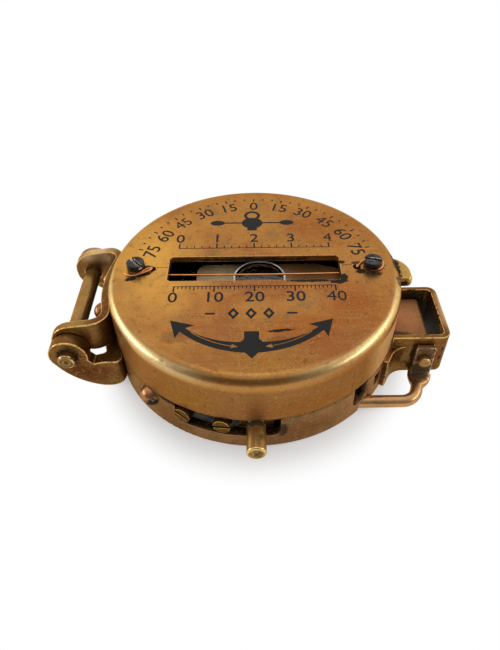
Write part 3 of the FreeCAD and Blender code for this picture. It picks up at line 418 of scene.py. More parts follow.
    def bump(self, height: Signal, depth: float, strength: float) -> bpy.types.NodeSocket:
        """Turns a height into a normal.

        Args:
            height: The height, about 0 to 1.
            depth: What 1 stands for, in millimetres.
            strength: The node's strength.

        Returns:
            The normal.
        """
        inputs = {"Strength": strength, "Distance": depth * MM, "Height": height}
        return self.node("ShaderNodeBump", inputs=inputs).outputs[0]


# Finishes


@dataclass(frozen=True)
class Stain:
    """One dark or light patch placed in millimetres: a real mark, painted light or painted shade. A soft one
    fades out as a cloud.
    """

    centre: Triple
    radii: Triple
    colour: Triple = SOOT
    strength: float = 1.0
    turn: float = 0.0
    soft: bool = False


def on_lid(
    x: float, y: float, half_x: float, half_y: float, deep: float = 1.0, **look: Triple | float
) -> Stain:
    """A stain on the lid's flat top.

    Args:
        x: Its middle along x.
        y: Its middle along y.
        half_x: Half its length along x.
        half_y: Half its length along y.
        deep: How far it reaches up and down.
        look: The stain's other fields.

    Returns:
        The stain.
    """
    return Stain((x, y, LID_TOP), (half_x, half_y, deep), **look)


@dataclass(frozen=True)
class Zone:
    """A ring-shaped part of a finish, between two distances from the middle and two heights.

    side limits it to an azimuth and so many degrees on each side of it. dull is how much rougher it is.
    """

    reach: Point
    height: Point
    colour: Triple
    strength: float = 1.0
    soft: float = 0.4
    side: Point | None = None
    dull: float = 0.0


class Grain:
    """The patterns of one brass finish, from wide clouds to fine sand."""

    def __init__(self, b: Bench, brush: Axis, seed: float) -> None:
        """Adds the patterns.

        Args:
            b: The bench.
            brush: The way of the brush lines.
            seed: Shifts every pattern.
        """
        self.clouds = b.noise(0.06, 4, seed)
        self.fog = b.noise(0.16, 5, seed + 3.1)
        self.mottle = b.noise(0.55, 4, seed + 4.7)
        self.tooth = b.noise(1.5, 4, seed + 5.5)
        self.sand = b.noise(2.6, 3, seed + 6.1)
        self.streaks = b.noise(brush.value, 5, seed + 7.3)
        self.pits = b.specks(0.34, 0.14, seed) * b.noise(0.2, 2, seed + 2.2).ramp(0.45, 0.56)
        self.worn = b.attribute("worn") * self.tooth.ramp(0.34, 0.52)


@dataclass(frozen=True)
class AgedBrass:
    """Old brass: cloudy colour, brush lines, flecks, pits, rubbed edges, shade and grime painted in corners,
    and patches.

    ground, ruddy, olive and pale are its tones. gloss is the roughness at its least and most, and crevice the
    strength of the shade and grime painted in inner corners and how near their walls stand. Its patches are
    real marks, painted light and painted shade.
    """

    title: str
    ground: Triple
    ruddy: Triple
    olive: Triple
    pale: Triple
    brush: Axis = Axis.CAST
    metal: float = 0.85
    gloss: Point = (0.3, 0.5)
    sheen: Triple = (238, 206, 162)
    streak: float = 0.2
    grime: float = 0.35
    rub: float = 0.85
    dents: float = 0.0
    flecks: float = 0.3
    crevice: Point = (0.0, 5.0)
    zones: tuple[Zone, ...] = ()
    stains: tuple[Stain, ...] = ()
    seed: float = 0.0
    relief: float = 0.02

    def make(self) -> bpy.types.Material:
        """Builds the material.

        Returns:
            The material.
        """
        b = Bench(self.title)
        grain = Grain(b, self.brush, self.seed)
        zones = [self._within(b, zone, grain.fog) for zone in self.zones]
        shade_and_dirt = self._dirt(b, grain)
        # The dark layers are painted shade and grime in corners, and hard patches of real dirt and painted
        # shade
        shade_and_residue = grain.worn * 0  # none, until dirt adds to it
        for _, mask in shade_and_dirt:
            shade_and_residue = shade_and_residue.at_least(mask)
        dull = sum(mask * zone.dull for zone, mask in zip(self.zones, zones) if zone.dull)
        return b.finish(
            Base_Color=b.layered(self.ground, self._tones(b, grain, zones) + shade_and_dirt),
            Metallic=(self.metal - shade_and_residue * 0.6).at_least(0.0),
            Roughness=(self._nap(grain) + shade_and_residue * 0.4 + dull - grain.worn * 0.08).at_most(0.9),
            Specular_Tint=srgb(self.sheen),
            Normal=b.bump(self._height(b, grain), self.relief, 0.8),
        )

    def _tones(self, b: Bench, grain: Grain, zones: list[Signal]) -> list[Layer]:
        """The tones over the ground, with painted light and shade, but without the corner shade and hard
        patches.

        Args:
            b: The bench.
            grain: The patterns.
            zones: Where each zone lies.

        Returns:
            Each tone with its mask, the lowest first.
        """
        dark = tuple(0.3 * c for c in self.ruddy)
        gold = tuple(0.55 * low + 0.45 * high for low, high in zip(self.ground, self.pale))
        grime = grain.mottle.ramp(0.52, 0.75) * 0.5 + grain.tooth.ramp(0.54, 0.76) * 0.55
        return [
            (self.ruddy, grain.clouds.ramp(0.4, 0.62) * 0.9),
            (self.olive, grain.fog.ramp(0.48, 0.68) * 0.7),
            *((zone.colour, mask * zone.strength) for zone, mask in zip(self.zones, zones)),
            *((colour_patch.colour, b.blot(colour_patch, grain.fog)) for colour_patch in self.stains if colour_patch.soft),
            (self.pale, grain.streaks.ramp(0.5, 0.75) * self.streak),
            (dark, grime * self.grime),
            (gold, grain.sand.ramp(0.5, 0.62) * grain.mottle.ramp(0.4, 0.6) * self.flecks),
            (dark, grain.pits * 0.8),
            (self.pale, grain.worn * self.rub),
        ]

    def _dirt(self, b: Bench, grain: Grain) -> list[Layer]:
        """The shade and grime painted in inner corners, and the hard patches: real dirt and painted shade.

        Args:
            b: The bench.
            grain: The patterns.

        Returns:
            Each tone with its mask, the lowest first.
        """
        share, depth = self.crevice
        shade_and_dirt = []
        # Shade painted where the piece's own walls close in, which also stands for grime there
        if share:
            corners = b.crevice(depth) + (grain.mottle - 0.5) * 0.5
            shade_and_dirt.append((CORNER_SHADE_AND_GRIME, corners.ramp(0.25, 0.8) * share))
        for colour_patch in self.stains:
            if not colour_patch.soft:
                shade_and_dirt.append((colour_patch.colour, b.blot(colour_patch, b.noise(0.9, 4, colour_patch.centre[0]))))
        return shade_and_dirt

    def _nap(self, grain: Grain) -> Signal:
        """The roughness of the bare metal.

        Args:
            grain: The patterns.

        Returns:
            The roughness.
        """
        low, high = self.gloss
        uneven = grain.streaks * 0.4 + grain.mottle * 0.3 + grain.tooth * 0.3
        return uneven * (high - low) * 1.6 + low - (high - low) * 0.3

    def _height(self, b: Bench, grain: Grain) -> Signal:
        """The relief of brush lines, mottle, pits and dents.

        Args:
            b: The bench.
            grain: The patterns.

        Returns:
            The height, about 0 to 1.
        """
        height = grain.streaks * 0.4 + grain.mottle * 0.5 + grain.tooth * 0.35 - grain.pits * 0.9
        if self.dents:
            height = height + b.noise(0.28, 2, self.seed + 1.1) * (self.dents / self.relief)
        return height

    def _within(self, b: Bench, zone: Zone, ragged: Signal) -> Signal:
        """Where a zone lies.

        Args:
            b: The bench.
            zone: The zone.
            ragged: Noise that breaks its edge.

        Returns:
            1 inside, 0 outside.
        """
        x, y, z = b.millimetres()
        reach = (x * x + y * y) ** 0.5 + (ragged - 0.5) * zone.soft
        (inner, outer), (low, high), soft = zone.reach, zone.height, zone.soft
        across = reach.ramp(inner - soft, inner + soft) * reach.fall(outer - soft, outer + soft)
        mask = across * z.ramp(low - soft, low + soft) * z.fall(high - soft, high + soft)
        if zone.side:
            turn, half = (math.radians(a) for a in zone.side)
            towards = (x * math.sin(turn) - y * math.cos(turn)) / reach
            mask = mask * towards.ramp(math.cos(half * 1.3), math.cos(half * 0.6))
        return mask


@dataclass(frozen=True)
class PlainMetal:
    """A metal of one tone with tarnish, and a rubbed tone on its edges if it has one."""

    title: str
    ground: Triple
    tarnish: Triple
    metal: float = 1.0
    gloss: Point = (0.25, 0.45)
    pace: float = 0.8
    share: float = 0.6
    rub: Triple | None = None

    def make(self) -> bpy.types.Material:
        """Builds the material.

        Returns:
            The material.
        """
        b = Bench(self.title)
        clouds = b.noise(self.pace, 4, self.pace)
        fine = b.noise(3.0, 3, 4.4)
        layers = [(self.tarnish, clouds.ramp(0.42, 0.62) * self.share)]
        if self.rub:
            layers.append((self.rub, b.attribute("worn") * fine.ramp(0.38, 0.55)))
        low, high = self.gloss
        return b.finish(
            Base_Color=b.layered(self.ground, layers),
            Metallic=self.metal,
            Roughness=clouds * (high - low) + low + fine * 0.05,
            Normal=b.bump(fine * 0.5 + clouds * 0.5, 0.02, 0.7),
        )


@dataclass(frozen=True)
class ClearGlass:
    """Clear glass with a little dust; where its edge is ground it turns near white and dull, partly ground
    glass and partly a painted highlight.
    """

    title: str
    middle: Point
    rim: float
    tint: Triple = (250, 252, 250)
    dusty: Triple = (236, 236, 228)
    ground: Triple = (250, 250, 246)
    ground_dusty: Triple = (190, 188, 180)
    bevel: Point = (0.55, 0.3)
    ground_share: float = 0.9

    def make(self) -> bpy.types.Material:
        """Builds the material.

        Returns:
            The material.
        """
        b = Bench(self.title)
        dust = b.noise(0.25, 2).ramp(0.4, 0.7)
        clear = b.shader(
            Base_Color=b.layered(self.tint, [(self.dusty, dust)]),
            Roughness=dust * 0.01,
            Transmission_Weight=1.0,
            IOR=1.5,
        )
        dull = b.shader(
            Base_Color=b.layered(self.ground, [(self.ground_dusty, dust)]),
            Roughness=dust * 0.1 + 0.1,
        )
        starts, ends = (self.rim - width for width in self.bevel)
        # The near-white rim is ground glass and also a painted highlight
        return b.blend(b.away(self.middle).ramp(starts, ends) * self.ground_share, clear, dull)


@dataclass(frozen=True)
class Paint:
    """Paint or filler without metal."""

    title: str
    ground: Triple
    worn_to: Triple
    share: float = 0.3
    gloss: Point = (0.4, 0.6)
    pace: float = 0.9
    shine: float = 0.5

    def make(self) -> bpy.types.Material:
        """Builds the material.

        Returns:
            The material.
        """
        b = Bench(self.title)
        clouds = b.noise(self.pace, 5, 1.7)
        low, high = self.gloss
        return b.finish(
            Base_Color=b.layered(self.ground, [(self.worn_to, clouds.ramp(0.5, 0.75) * self.share)]),
            Roughness=clouds * (high - low) + low,
            Specular_IOR_Level=self.shine,
            Normal=b.bump(b.noise(4.0, 3, 8.1), 0.015, 0.6),
        )


# Handiwork


def pick(piece: bpy.types.Object) -> None:
    """Selects one object and nothing else.

    Args:
        piece: The object.
    """
    bpy.ops.object.select_all(action="DESELECT")
    piece.select_set(True)
    bpy.context.view_layer.objects.active = piece


def settle(piece: bpy.types.Object) -> None:
    """Puts an object's place into its mesh."""
    pick(piece)
    bpy.ops.object.transform_apply(location=True, rotation=True, scale=True)


def hung(name: str, data: bpy.types.ID) -> bpy.types.Object:
    """Puts new data into the scene as an object.

    Args:
        name: The object's name.
        data: Its mesh, curve, camera or light.

    Returns:
        The object.
    """
    made = bpy.data.objects.new(name, data)
    bpy.context.scene.collection.objects.link(made)
    return made


def meshed(drawn: bpy.types.Object) -> bpy.types.Object:
    """Turns a text or a curve into a mesh.

    Args:
        drawn: The text or curve.

    Returns:
        The mesh object.
    """
    pick(drawn)
    bpy.ops.object.convert(target="MESH")
    return bpy.context.view_layer.objects.active


def join(pieces: list[bpy.types.Object], name: str) -> bpy.types.Object:
    """Joins meshes into one.

    Args:
        pieces: The objects.
        name: The joined object's name.

    Returns:
        The joined object.
    """
    pick(pieces[0])
    for piece in pieces:
        piece.select_set(True)
    bpy.ops.object.join()
    made = bpy.context.view_layer.objects.active
    made.name = made.data.name = name
    return made


def mounted(piece: bpy.types.Object, body: str, material: bpy.types.Material) -> bpy.types.Object:
    """Gives a piece its finish and its body.

    Args:
        piece: The object.
        body: The CAD body that it moves with.
        material: Its material.

    Returns:
        The same object.
    """
    piece.data.materials.clear()
    piece.data.materials.append(material)
    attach(piece, body)
    log.info("%s rides on %s", piece.name, body)
    return piece


def dress(material: bpy.types.Material, *nodes: str) -> None:
    """Gives CAD nodes their material.

    Args:
        material: The material.
        nodes: The nodes' names.
    """
    for node in nodes:
        for place in frame["nodes"][node].material_slots:
            place.material = material
        log.info("%s dressed in %s", node, material.name)


@dataclass(frozen=True)
class Easing:
    """How a copy of a CAD node has its sharp edges rounded.

    width is the rounding's. split cuts flat faces with holes into convex ones first. sharp is the least angle
    of an edge that is rounded, in degrees.
    """

    width: float
    split: bool = False
    sharp: float = 38.0

    def stand_in(self, node: str, material: bpy.types.Material) -> bpy.types.Object:
        """Stands in for a CAD node with a copy whose sharp edges are a little round.

        Args:
            node: The CAD node.
            material: The finish.

        Returns:
            The copy, which carries the number worn, 1 on its rounded edges.
        """
        source = frame["nodes"][node]
        piece = hung(f"{node}_eased", source.data.copy())
        self._merge(piece)
        piece.data.materials.clear()
        piece.data.materials.append(material)
        self._round(piece)
        for vertex in piece.data.vertices:
            vertex.co.z = max(vertex.co.z, 0.0)  # no rounded corner dips into the table
        bpy.ops.object.shade_smooth_by_angle(angle=math.radians(SMOOTH_TO))
        weighted = piece.modifiers.new("flats", "WEIGHTED_NORMAL")
        weighted.keep_sharp = True
        bpy.ops.object.modifier_apply(modifier=weighted.name)
        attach(piece, source["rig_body"])
        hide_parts(node)
        log.info("%s stands for %s", piece.name, node)
        return piece

    def _merge(self, piece: bpy.types.Object) -> None:
        """Merges a copy's loose triangles into whole faces.

        Args:
            piece: The copy.
        """
        pick(piece)
        bpy.ops.object.mode_set(mode="EDIT")
        bpy.ops.mesh.select_all(action="SELECT")
        bpy.ops.mesh.remove_doubles(threshold=MERGE_WITHIN * MM)
        bpy.ops.mesh.dissolve_limited(angle_limit=math.radians(FLAT_WITHIN))
        if self.split:
            bpy.ops.mesh.select_all(action="SELECT")
            bpy.ops.mesh.vert_connect_concave()
        bpy.ops.object.mode_set(mode="OBJECT")
        bpy.ops.mesh.customdata_custom_splitnormals_clear()

    def _round(self, piece: bpy.types.Object) -> None:
        """Rounds the sharp edges and writes worn on the new faces, which a second slot tells apart.

        Args:
            piece: The copy, with one material.
        """
        piece.data.materials.append(None)
        bevel = piece.modifiers.new("rounding", "BEVEL")
        bevel.width = self.width * MM
        bevel.segments = 2
        bevel.limit_method = "ANGLE"
        bevel.angle_limit = math.radians(self.sharp)
        bevel.use_clamp_overlap = False
        bevel.material = 1
        bpy.ops.object.modifier_apply(modifier=bevel.name)
        worn = piece.data.attributes.new("worn", "FLOAT", "CORNER")
        for face in piece.data.polygons:
            for corner in face.loop_indices:
                worn.data[corner].value = float(face.material_index == 1)
            face.material_index = 0
        piece.data.materials.pop(index=1)


class Marks:
    """Flat filled marks on a level face, drawn one by one and then joined."""

    def __init__(self, height: float, thick: float = 0.015) -> None:
        """Starts an empty set of marks.

        Args:
            height: The face's height.
            thick: How far the filling stands up.
        """
        self.height = height
        self.thick = thick
        self.layer = 0.0
        self.drawn: list[bpy.types.Object] = []

    def _keep(self, made: bpy.types.Object, x: float, y: float, turn: float) -> None:
        """Puts a flat mesh in its place on the face.

        Args:
            made: The mesh.
            x: Place along x.
            y: Place along y.
            turn: Turn in degrees.
        """
        made.location = (x * MM, y * MM, self.height * MM)
        made.rotation_euler = (0, 0, math.radians(turn))
        settle(made)
        self.drawn.append(made)

    def number(self, words: str, size: float, place: Point, turn: float, weight: float) -> None:
        """Draws figures, centred on a point.

        Args:
            words: What is written.
            size: The font's size.
            place: The point.
            turn: Turn in degrees.
            weight: How much the strokes are fattened. The eye of a 4 closes up sooner than the others.
        """
        bpy.ops.object.select_all(action="DESELECT")
        bpy.ops.object.text_add()
        text = bpy.context.view_layer.objects.active
        text.data.body = words
        text.data.size = size * MM
        text.data.align_x = text.data.align_y = "CENTER"
        text.data.offset = (min(weight, size * MOST_WEIGHT_OF_4) if "4" in words else weight) * MM
        text.data.extrude = (self.thick + self.layer) * MM
        text.data.resolution_u = 3
        self._keep(meshed(text), *place, turn)

    def shape(self, outlines: list[list[Point]], place: Point = (0.0, 0.0), turn: float = 0.0) -> None:
        """Draws a filled shape.

        Args:
            outlines: Closed outlines; one inside another is a hole.
            place: Where its own origin lies.
            turn: Turn in degrees.
        """
        curve = bpy.data.curves.new("outline", "CURVE")
        curve.dimensions = "2D"
        curve.fill_mode = "BOTH"
        curve.extrude = (self.thick + self.layer) * MM
        for outline in outlines:
            spline = curve.splines.new("POLY")
            spline.points.add(len(outline) - 1)
            for point, (u, v) in zip(spline.points, outline):
                point.co = (u * MM, v * MM, 0, 1)
            spline.use_cyclic_u = True
        self._keep(meshed(hung("outline", curve)), *place, turn)

    def graduate(
        self, angles: range, every: int, edge: float, long: Point, short: Point, inward: bool = True
    ) -> None:
        """Draws strokes round a circle.

        Args:
            angles: Their bearings in degrees.
            every: Bearings that it divides have long strokes.
            edge: The radius that they all start on.
            long: A long stroke's half width and length.
            short: A short stroke's half width and length.
            inward: Whether they run inwards from the edge.
        """
        for angle in angles:
            half_width, tall = short if angle % every else long
            middle = edge - tall / 2 if inward else edge + tall / 2
            self.shape([bar(half_width, tall / 2)], bearing(middle, angle), -angle)

    def finished(self, name: str, body: str, material: bpy.types.Material) -> bpy.types.Object:
        """Joins the marks into one piece that rides on a body.

        Args:
            name: The piece's name.
            body: The CAD body.
            material: The filling.

        Returns:
            The piece.
        """
        return mounted(join(self.drawn, name), body, material)


def bearing(radius: float, angle: float) -> Point:
    """The place on a circle at so many degrees clockwise from +Y."""
    turn = math.radians(angle)
    return radius * math.sin(turn), radius * math.cos(turn)


def bar(half_x: float, half_y: float) -> list[Point]:
    """The outline of a bar round its own middle."""
    return [(-half_x, -half_y), (half_x, -half_y), (half_x, half_y), (-half_x, half_y)]


def mirrored(half: list[Point]) -> list[Point]:
    """A whole outline from its right half, which runs from the top down."""
    return half + [(-x, y) for x, y in reversed(half) if x]


def lozenge(half_x: float, half_y: float) -> list[Point]:
    """The outline of a lozenge round its own middle."""
    return [(-half_x, 0.0), (0.0, -half_y), (half_x, 0.0), (0.0, half_y)]


def arc(radius: float, start: float, end: float, steps: int, middle: Point) -> list[Point]:
    """Points along an arc.

    Args:
        radius: Its radius.
        start: Its first angle in degrees, from x towards y.
        end: Its last angle.
        steps: How many runs it is drawn with.
        middle: Its centre.

    Returns:
        The points.
    """
    angles = [math.radians(start + (end - start) * i / steps) for i in range(steps + 1)]
    return [(middle[0] + radius * math.cos(a), middle[1] + radius * math.sin(a)) for a in angles]


def oval(half_x: float, half_y: float, steps: int = 36) -> list[Point]:
    """The outline of an oval round its own middle."""
    turns = [2 * math.pi * i / steps for i in range(steps)]
    return [(half_x * math.cos(t), half_y * math.sin(t)) for t in turns]


def drawn_wire(name: str, path: tuple[Triple, ...], radius: float) -> bpy.types.Object:
    """Makes a thin wire along a smooth line.

    Args:
        name: Its name.
        path: Points that shape its line.
        radius: Its radius.

    Returns:
        The wire as a mesh.
    """
    curve = bpy.data.curves.new(name, "CURVE")
    curve.dimensions = "3D"
    curve.bevel_depth = radius * MM
    curve.bevel_resolution = 3
    curve.resolution_u = 6
    curve.use_fill_caps = True
    spline = curve.splines.new("NURBS")
    spline.points.add(len(path) - 1)
    for point, place in zip(spline.points, path):
        point.co = (*(c * MM for c in place), 1)
    spline.order_u = 3
    spline.use_endpoint_u = True
    made = meshed(hung(name, curve))
    bpy.ops.object.shade_smooth()
    return made


# Sub-assemblies


@dataclass
class Finishes:
    """Every finish of the compass, made once."""

    made: dict[str, bpy.types.Material] = field(default_factory=dict)

    RECIPES = (
        AgedBrass(
            "lid_brass", (176, 120, 62), (152, 88, 50), (140, 104, 62), (226, 188, 124), Axis.ALONG_X,
            metal=0.9, gloss=(0.22, 0.38), streak=0.14, grime=0.75, flecks=0.4, rub=0.5, seed=1.3,
            zones=(
                # The rounded rim: a pale band on top, partly wear and partly painted sheen; a painted dark
                # reflection and a painted highlight line in front; both sides rubbed bright, partly wear and
                # partly painted highlight
                Zone((35.0, 36.2), (22.5, 25.0), (176, 140, 84), 0.35, 0.5),
                Zone((36.3, 36.9), (20.9, 24.0), (84, 52, 24), 0.4, 0.25, (0.0, 26.0)),
                Zone((37.1, 37.9), (20.4, 22.4), (178, 132, 70), 0.5, 0.25, (0.0, 34.0)),
                Zone((36.1, 37.4), (21.0, 24.4), (244, 218, 160), 0.75, 0.35, (-60.0, 38.0)),
                Zone((35.7, 37.1), (21.4, 24.4), (244, 212, 146), 0.7, 0.35, (49.0, 33.0)),
                # The wall: all of it painted darker than the top as shade, a darker band along its lower
                # edge, and its right-hand side painted lighter where the lamp on the right falls
                Zone((35.5, 39.0), (9.0, 20.9), (142, 96, 54), 0.75, 1.0, dull=0.2),
                Zone((35.5, 39.0), (9.0, 11.1), (60, 38, 20), 0.4, 0.4),
                Zone((35.5, 39.0), (10.0, 21.5), (246, 194, 132), 0.95, 1.0, (80.0, 30.0)),
            ),
            stains=(
                # Broad clouds on the top and on the wall
                on_lid(-26.0, 3.0, 17.0, 32.0, 4.0, colour=(224, 166, 78), strength=0.85, turn=20, soft=True),
                on_lid(0.0, -31.0, 26.0, 8.0, 3.0, colour=(146, 98, 42), strength=0.6, soft=True),
                on_lid(-20.0, 19.0, 10.0, 8.0, 3.0, colour=(196, 134, 66), strength=0.8, soft=True),
                on_lid(10.0, -22.0, 16.0, 8.0, 2.5, colour=(150, 78, 30), strength=0.7, soft=True),
                on_lid(24.0, -14.0, 11.0, 12.0, 2.5, colour=(150, 78, 32), strength=0.75, soft=True),
                on_lid(19.0, 18.0, 12.0, 12.0, 2.5, colour=(150, 82, 38), strength=0.6, soft=True),
                Stain((-17.0, -35.0, 15.0), (12.0, 8.0, 6.0), colour=(150, 102, 36), strength=0.7, soft=True),
                Stain((12.0, -37.0, 14.0), (12.0, 8.0, 5.0), colour=(146, 86, 34), strength=0.7, soft=True),
                # Brown halos under the anchor's arms
                on_lid(5.7, -25.9, 5.0, 2.2, colour=(96, 58, 26), strength=0.4),
                on_lid(-18.8, -24.1, 4.0, 2.4, colour=(100, 62, 28), strength=0.35),
                # Dirt round the screws and the ends of the wire
                on_lid(-31.0, -3.8, 2.2, 0.9, turn=15),
                on_lid(-28.2, -2.3, 2.6, 0.9, turn=25),
                on_lid(-27.6, 0.4, 1.9, 1.2),
                on_lid(27.1, -1.8, 1.9, 1.2),
                on_lid(26.5, 1.5, 1.6, 0.8, strength=0.8),
                on_lid(30.2, -2.9, 2.8, 1.0, strength=0.9),
                on_lid(30.6, -0.2, 3.2, 3.0, strength=0.85),
                on_lid(-30.0, -0.2, 3.1, 2.9, strength=0.85),
                # Dirt along the window's front edge and at its right end; its far wall and its right end wall
                # dark all along
                on_lid(22.6, 1.9, 1.0, 1.0),
                on_lid(22.6, -4.4, 1.1, 2.1, 1.2),
                on_lid(21.0, -5.7, 2.4, 1.0, 1.2),
                on_lid(14.5, -5.2, 7.4, 0.75, 1.2),
                Stain((0.0, 4.9, 23.25), (24.0, 0.5, 0.8), colour=(30, 24, 16), strength=0.95),
                Stain((22.1, 0.0, 23.2), (0.5, 5.5, 0.9), colour=(36, 30, 22), strength=0.9),
                # Smudges of filler beside the anchor's arms
                on_lid(5.9, -22.4, 3.6, 0.6, turn=6),
                on_lid(-13.8, -24.4, 1.7, 0.4, turn=-32),
                # Dark patches on the rim by the tab
                Stain((36.6, 2.2, 22.4), (1.4, 5.4, 2.2)),
                Stain((35.9, -4.6, 22.4), (1.2, 2.8, 2.0), colour=(48, 42, 38), strength=0.9, turn=-8),
                Stain((34.4, -10.2, 22.6), (1.3, 1.6, 1.4), colour=(52, 44, 36), strength=0.8, turn=-15),
                Stain((33.2, -14.6, 22.2), (1.0, 1.2, 1.0), colour=(60, 50, 40), strength=0.6),
            ),
        ),
        AgedBrass(
            "case_brass", (150, 110, 74), (124, 84, 56), (112, 90, 62), (210, 168, 108), Axis.ROUND_WALL,
            metal=0.9, gloss=(0.36, 0.58), grime=0.95, flecks=0.6, rub=0.3, crevice=(0.9, 5.0), seed=4.1,
            zones=(
                # The dark inside, the joint line, and the right-hand side painted lighter where the lamp on
                # the right falls
                Zone((20.0, 36.9), (4.0, 11.5), (26, 20, 14), 0.92, 0.25),
                Zone((36.0, 39.0), (10.2, 12.0), (44, 30, 18), 0.6, 0.25),
                Zone((36.5, 39.0), (-1.0, 10.0), (176, 132, 94), 0.8, 0.6, (66.0, 30.0)),
            ),
            stains=(
                # Dark patches over the front window, round the stud, beside the rod and at the right slot; a
                # cloud
                Stain((-18.5, -32.5, 10.3), (11.0, 4.6, 1.0), strength=0.9),
                Stain((-27.0, -26.0, 5.5), (3.4, 3.4, 2.6), colour=(40, 28, 20), strength=0.8),
                Stain((6.4, -36.9, 6.2), (1.4, 1.6, 3.0), colour=(36, 26, 18), strength=0.8),
                Stain((26.0, -27.0, 8.0), (3.2, 3.2, 3.4), colour=(40, 28, 18), strength=0.6),
                Stain((14.0, -35.0, 5.0), (12.0, 6.0, 4.0), colour=(104, 58, 28), strength=0.6, soft=True),
            ),
        ),
        AgedBrass(
            "tab_brass", (198, 150, 76), (166, 104, 50), (146, 114, 60), (244, 214, 146), Axis.CAST,
            metal=0.85, gloss=(0.24, 0.38), grime=0.25, seed=2.2,
            stains=(
                Stain((36.6, 1.0, 21.5), (1.9, 6.0, 3.0)),
                Stain((38.4, -3.4, 20.6), (1.6, 1.5, 1.8)),
                Stain((38.6, 5.0, 18.0), (3.0, 4.0, 2.0), colour=(120, 76, 34), strength=0.6, soft=True),
            ),
        ),
        AgedBrass(
            "bracket_brass", (124, 84, 42), (106, 58, 28), (94, 74, 40), (220, 178, 104), Axis.CAST,
            metal=0.85, gloss=(0.28, 0.46), grime=0.5, flecks=0.4, rub=1.0, dents=0.12, crevice=(0.95, 7.0),
            seed=6.0,
            stains=(
                # Painted light on the upper bracket's ends and on the box's right face, where the lamps fall
                # on them
                Stain((-44.0, 16.0, 18.6), (7.0, 6.0, 4.0), colour=(240, 206, 158), strength=0.95, soft=True),
                Stain((-45.0, -14.0, 18.4), (7.0, 6.0, 3.0), colour=(176, 138, 76), strength=0.7, soft=True),
                Stain((50.4, -6.0, 12.0), (3.0, 12.0, 8.0), colour=(232, 190, 138), strength=0.95, soft=True),
                # The lower bracket's near ear: a dark ring round its pin, painted shade in the gap, and a
                # ruddy side
                Stain((-46.4, -18.9, 12.1), (3.9, 1.4, 3.9), colour=(26, 20, 14)),
                Stain((-43.0, -18.8, 6.4), (10.5, 1.8, 6.0), colour=(78, 32, 13), strength=1.0, soft=True),
                # The leaf on the lid's wall
                Stain((-37.8, 0.0, 15.0), (1.8, 11.0, 6.0), colour=(120, 68, 48), strength=0.6, soft=True),
                # The inside of the box, painted dark as shade
                Stain((47.8, -5.6, 5.5), (1.0, 12.0, 9.5), colour=(10, 8, 6)),
                Stain((43.0, -14.0, 6.0), (6.0, 0.9, 9.0), colour=(26, 20, 14), strength=0.9),
                Stain((43.0, 2.7, 6.0), (7.0, 0.9, 9.5), colour=(28, 21, 15), strength=0.95),
                # The box's near face: a pale patch, a dark patch low down and the tag's shadow painted beside
                # it
                Stain((39.4, -14.9, 7.0), (2.6, 1.4, 3.4), colour=(176, 140, 76), strength=0.55),
                Stain((44.5, -14.9, 3.0), (4.4, 1.4, 2.4), colour=(60, 40, 24), strength=0.6, soft=True),
                Stain((40.6, -15.0, 8.0), (1.0, 1.3, 4.6), colour=(26, 20, 14), strength=0.9),
            ),
        ),
        AgedBrass(
            "pin_brass", (172, 134, 78), (138, 98, 54), (120, 94, 56), (240, 204, 132), Axis.ALONG_Y,
            metal=0.9, gloss=(0.2, 0.36), grime=0.5, flecks=0.3, seed=8.0,
            stains=(
                Stain((-46.4, 13.5, 12.1), (3.4, 5.0, 3.4), colour=(26, 19, 13), strength=0.85),
                Stain((-46.4, -9.5, 11.4), (3.4, 3.0, 2.2), colour=(34, 24, 16), strength=0.75),
                # Shade painted along the pin's side towards the case
                Stain((-44.6, 3.0, 11.0), (1.4, 12.0, 1.8), colour=(40, 28, 18), strength=0.6),
                Stain((-46.4, -21.0, 12.1), (2.6, 1.2, 2.6), colour=(104, 76, 38), strength=0.7),
                Stain((42.9, -19.0, 7.6), (3.2, 1.4, 3.2), colour=(150, 108, 58), strength=0.6),
                # More shade painted along the pin's side towards the case
                Stain((-44.2, 2.0, 12.0), (0.9, 15.0, 2.6), colour=(44, 30, 18), strength=0.8),
            ),
        ),
        AgedBrass(
            "bail_brass", (196, 146, 98), (168, 116, 76), (140, 112, 76), (248, 226, 192), Axis.CAST,
            metal=0.85, gloss=(0.22, 0.38), grime=0.5, dents=0.06, rub=0.7, seed=9.4,
            stains=(
                Stain((42.6, -17.4, 3.6), (3.8, 3.4, 3.4), colour=(66, 52, 36), strength=0.9),
                Stain((43.2, -17.6, 8.6), (4.0, 1.6, 7.0), colour=(74, 54, 30), strength=0.85),
                Stain((44.0, -16.6, 2.0), (3.0, 3.0, 3.0), colour=(220, 190, 150), strength=0.4, soft=True),
            ),
        ),
        AgedBrass(
            "arm_brass", (142, 96, 56), (124, 72, 42), (104, 84, 52), (214, 176, 118), Axis.ALONG_X,
            metal=0.5, gloss=(0.3, 0.46), grime=0.6, seed=11.0,
            stains=(
                Stain((39.0, -5.6, 11.0), (7.0, 9.0, 3.0), colour=(176, 116, 74), strength=0.75, soft=True),
                # The arm under the window painted pale, as lit there
                Stain((-6.0, 0.3, 19.9), (18.0, 12.0, 3.0), colour=(206, 186, 146), strength=0.95, soft=True),
                Stain((37.0, -11.6, 11.4), (4.0, 1.4, 2.0), colour=(40, 26, 18), strength=0.8),
            ),
        ),
        AgedBrass(
            "rod_brass", (204, 162, 94), (160, 122, 70), (134, 108, 62), (244, 212, 138), Axis.ALONG_Y,
            metal=0.92, gloss=(0.26, 0.42), grime=0.5, flecks=0.35, rub=1.0, seed=12.0,
            stains=(
                Stain((0.0, -37.2, 9.6), (3.2, 1.7, 2.0), strength=0.85),
                Stain((0.9, -41.0, 9.4), (1.0, 1.2, 1.0), colour=(60, 42, 24), strength=0.7),
                Stain((0.0, -44.6, 7.8), (2.0, 0.8, 2.0), colour=(84, 68, 44), strength=0.8),
            ),
        ),
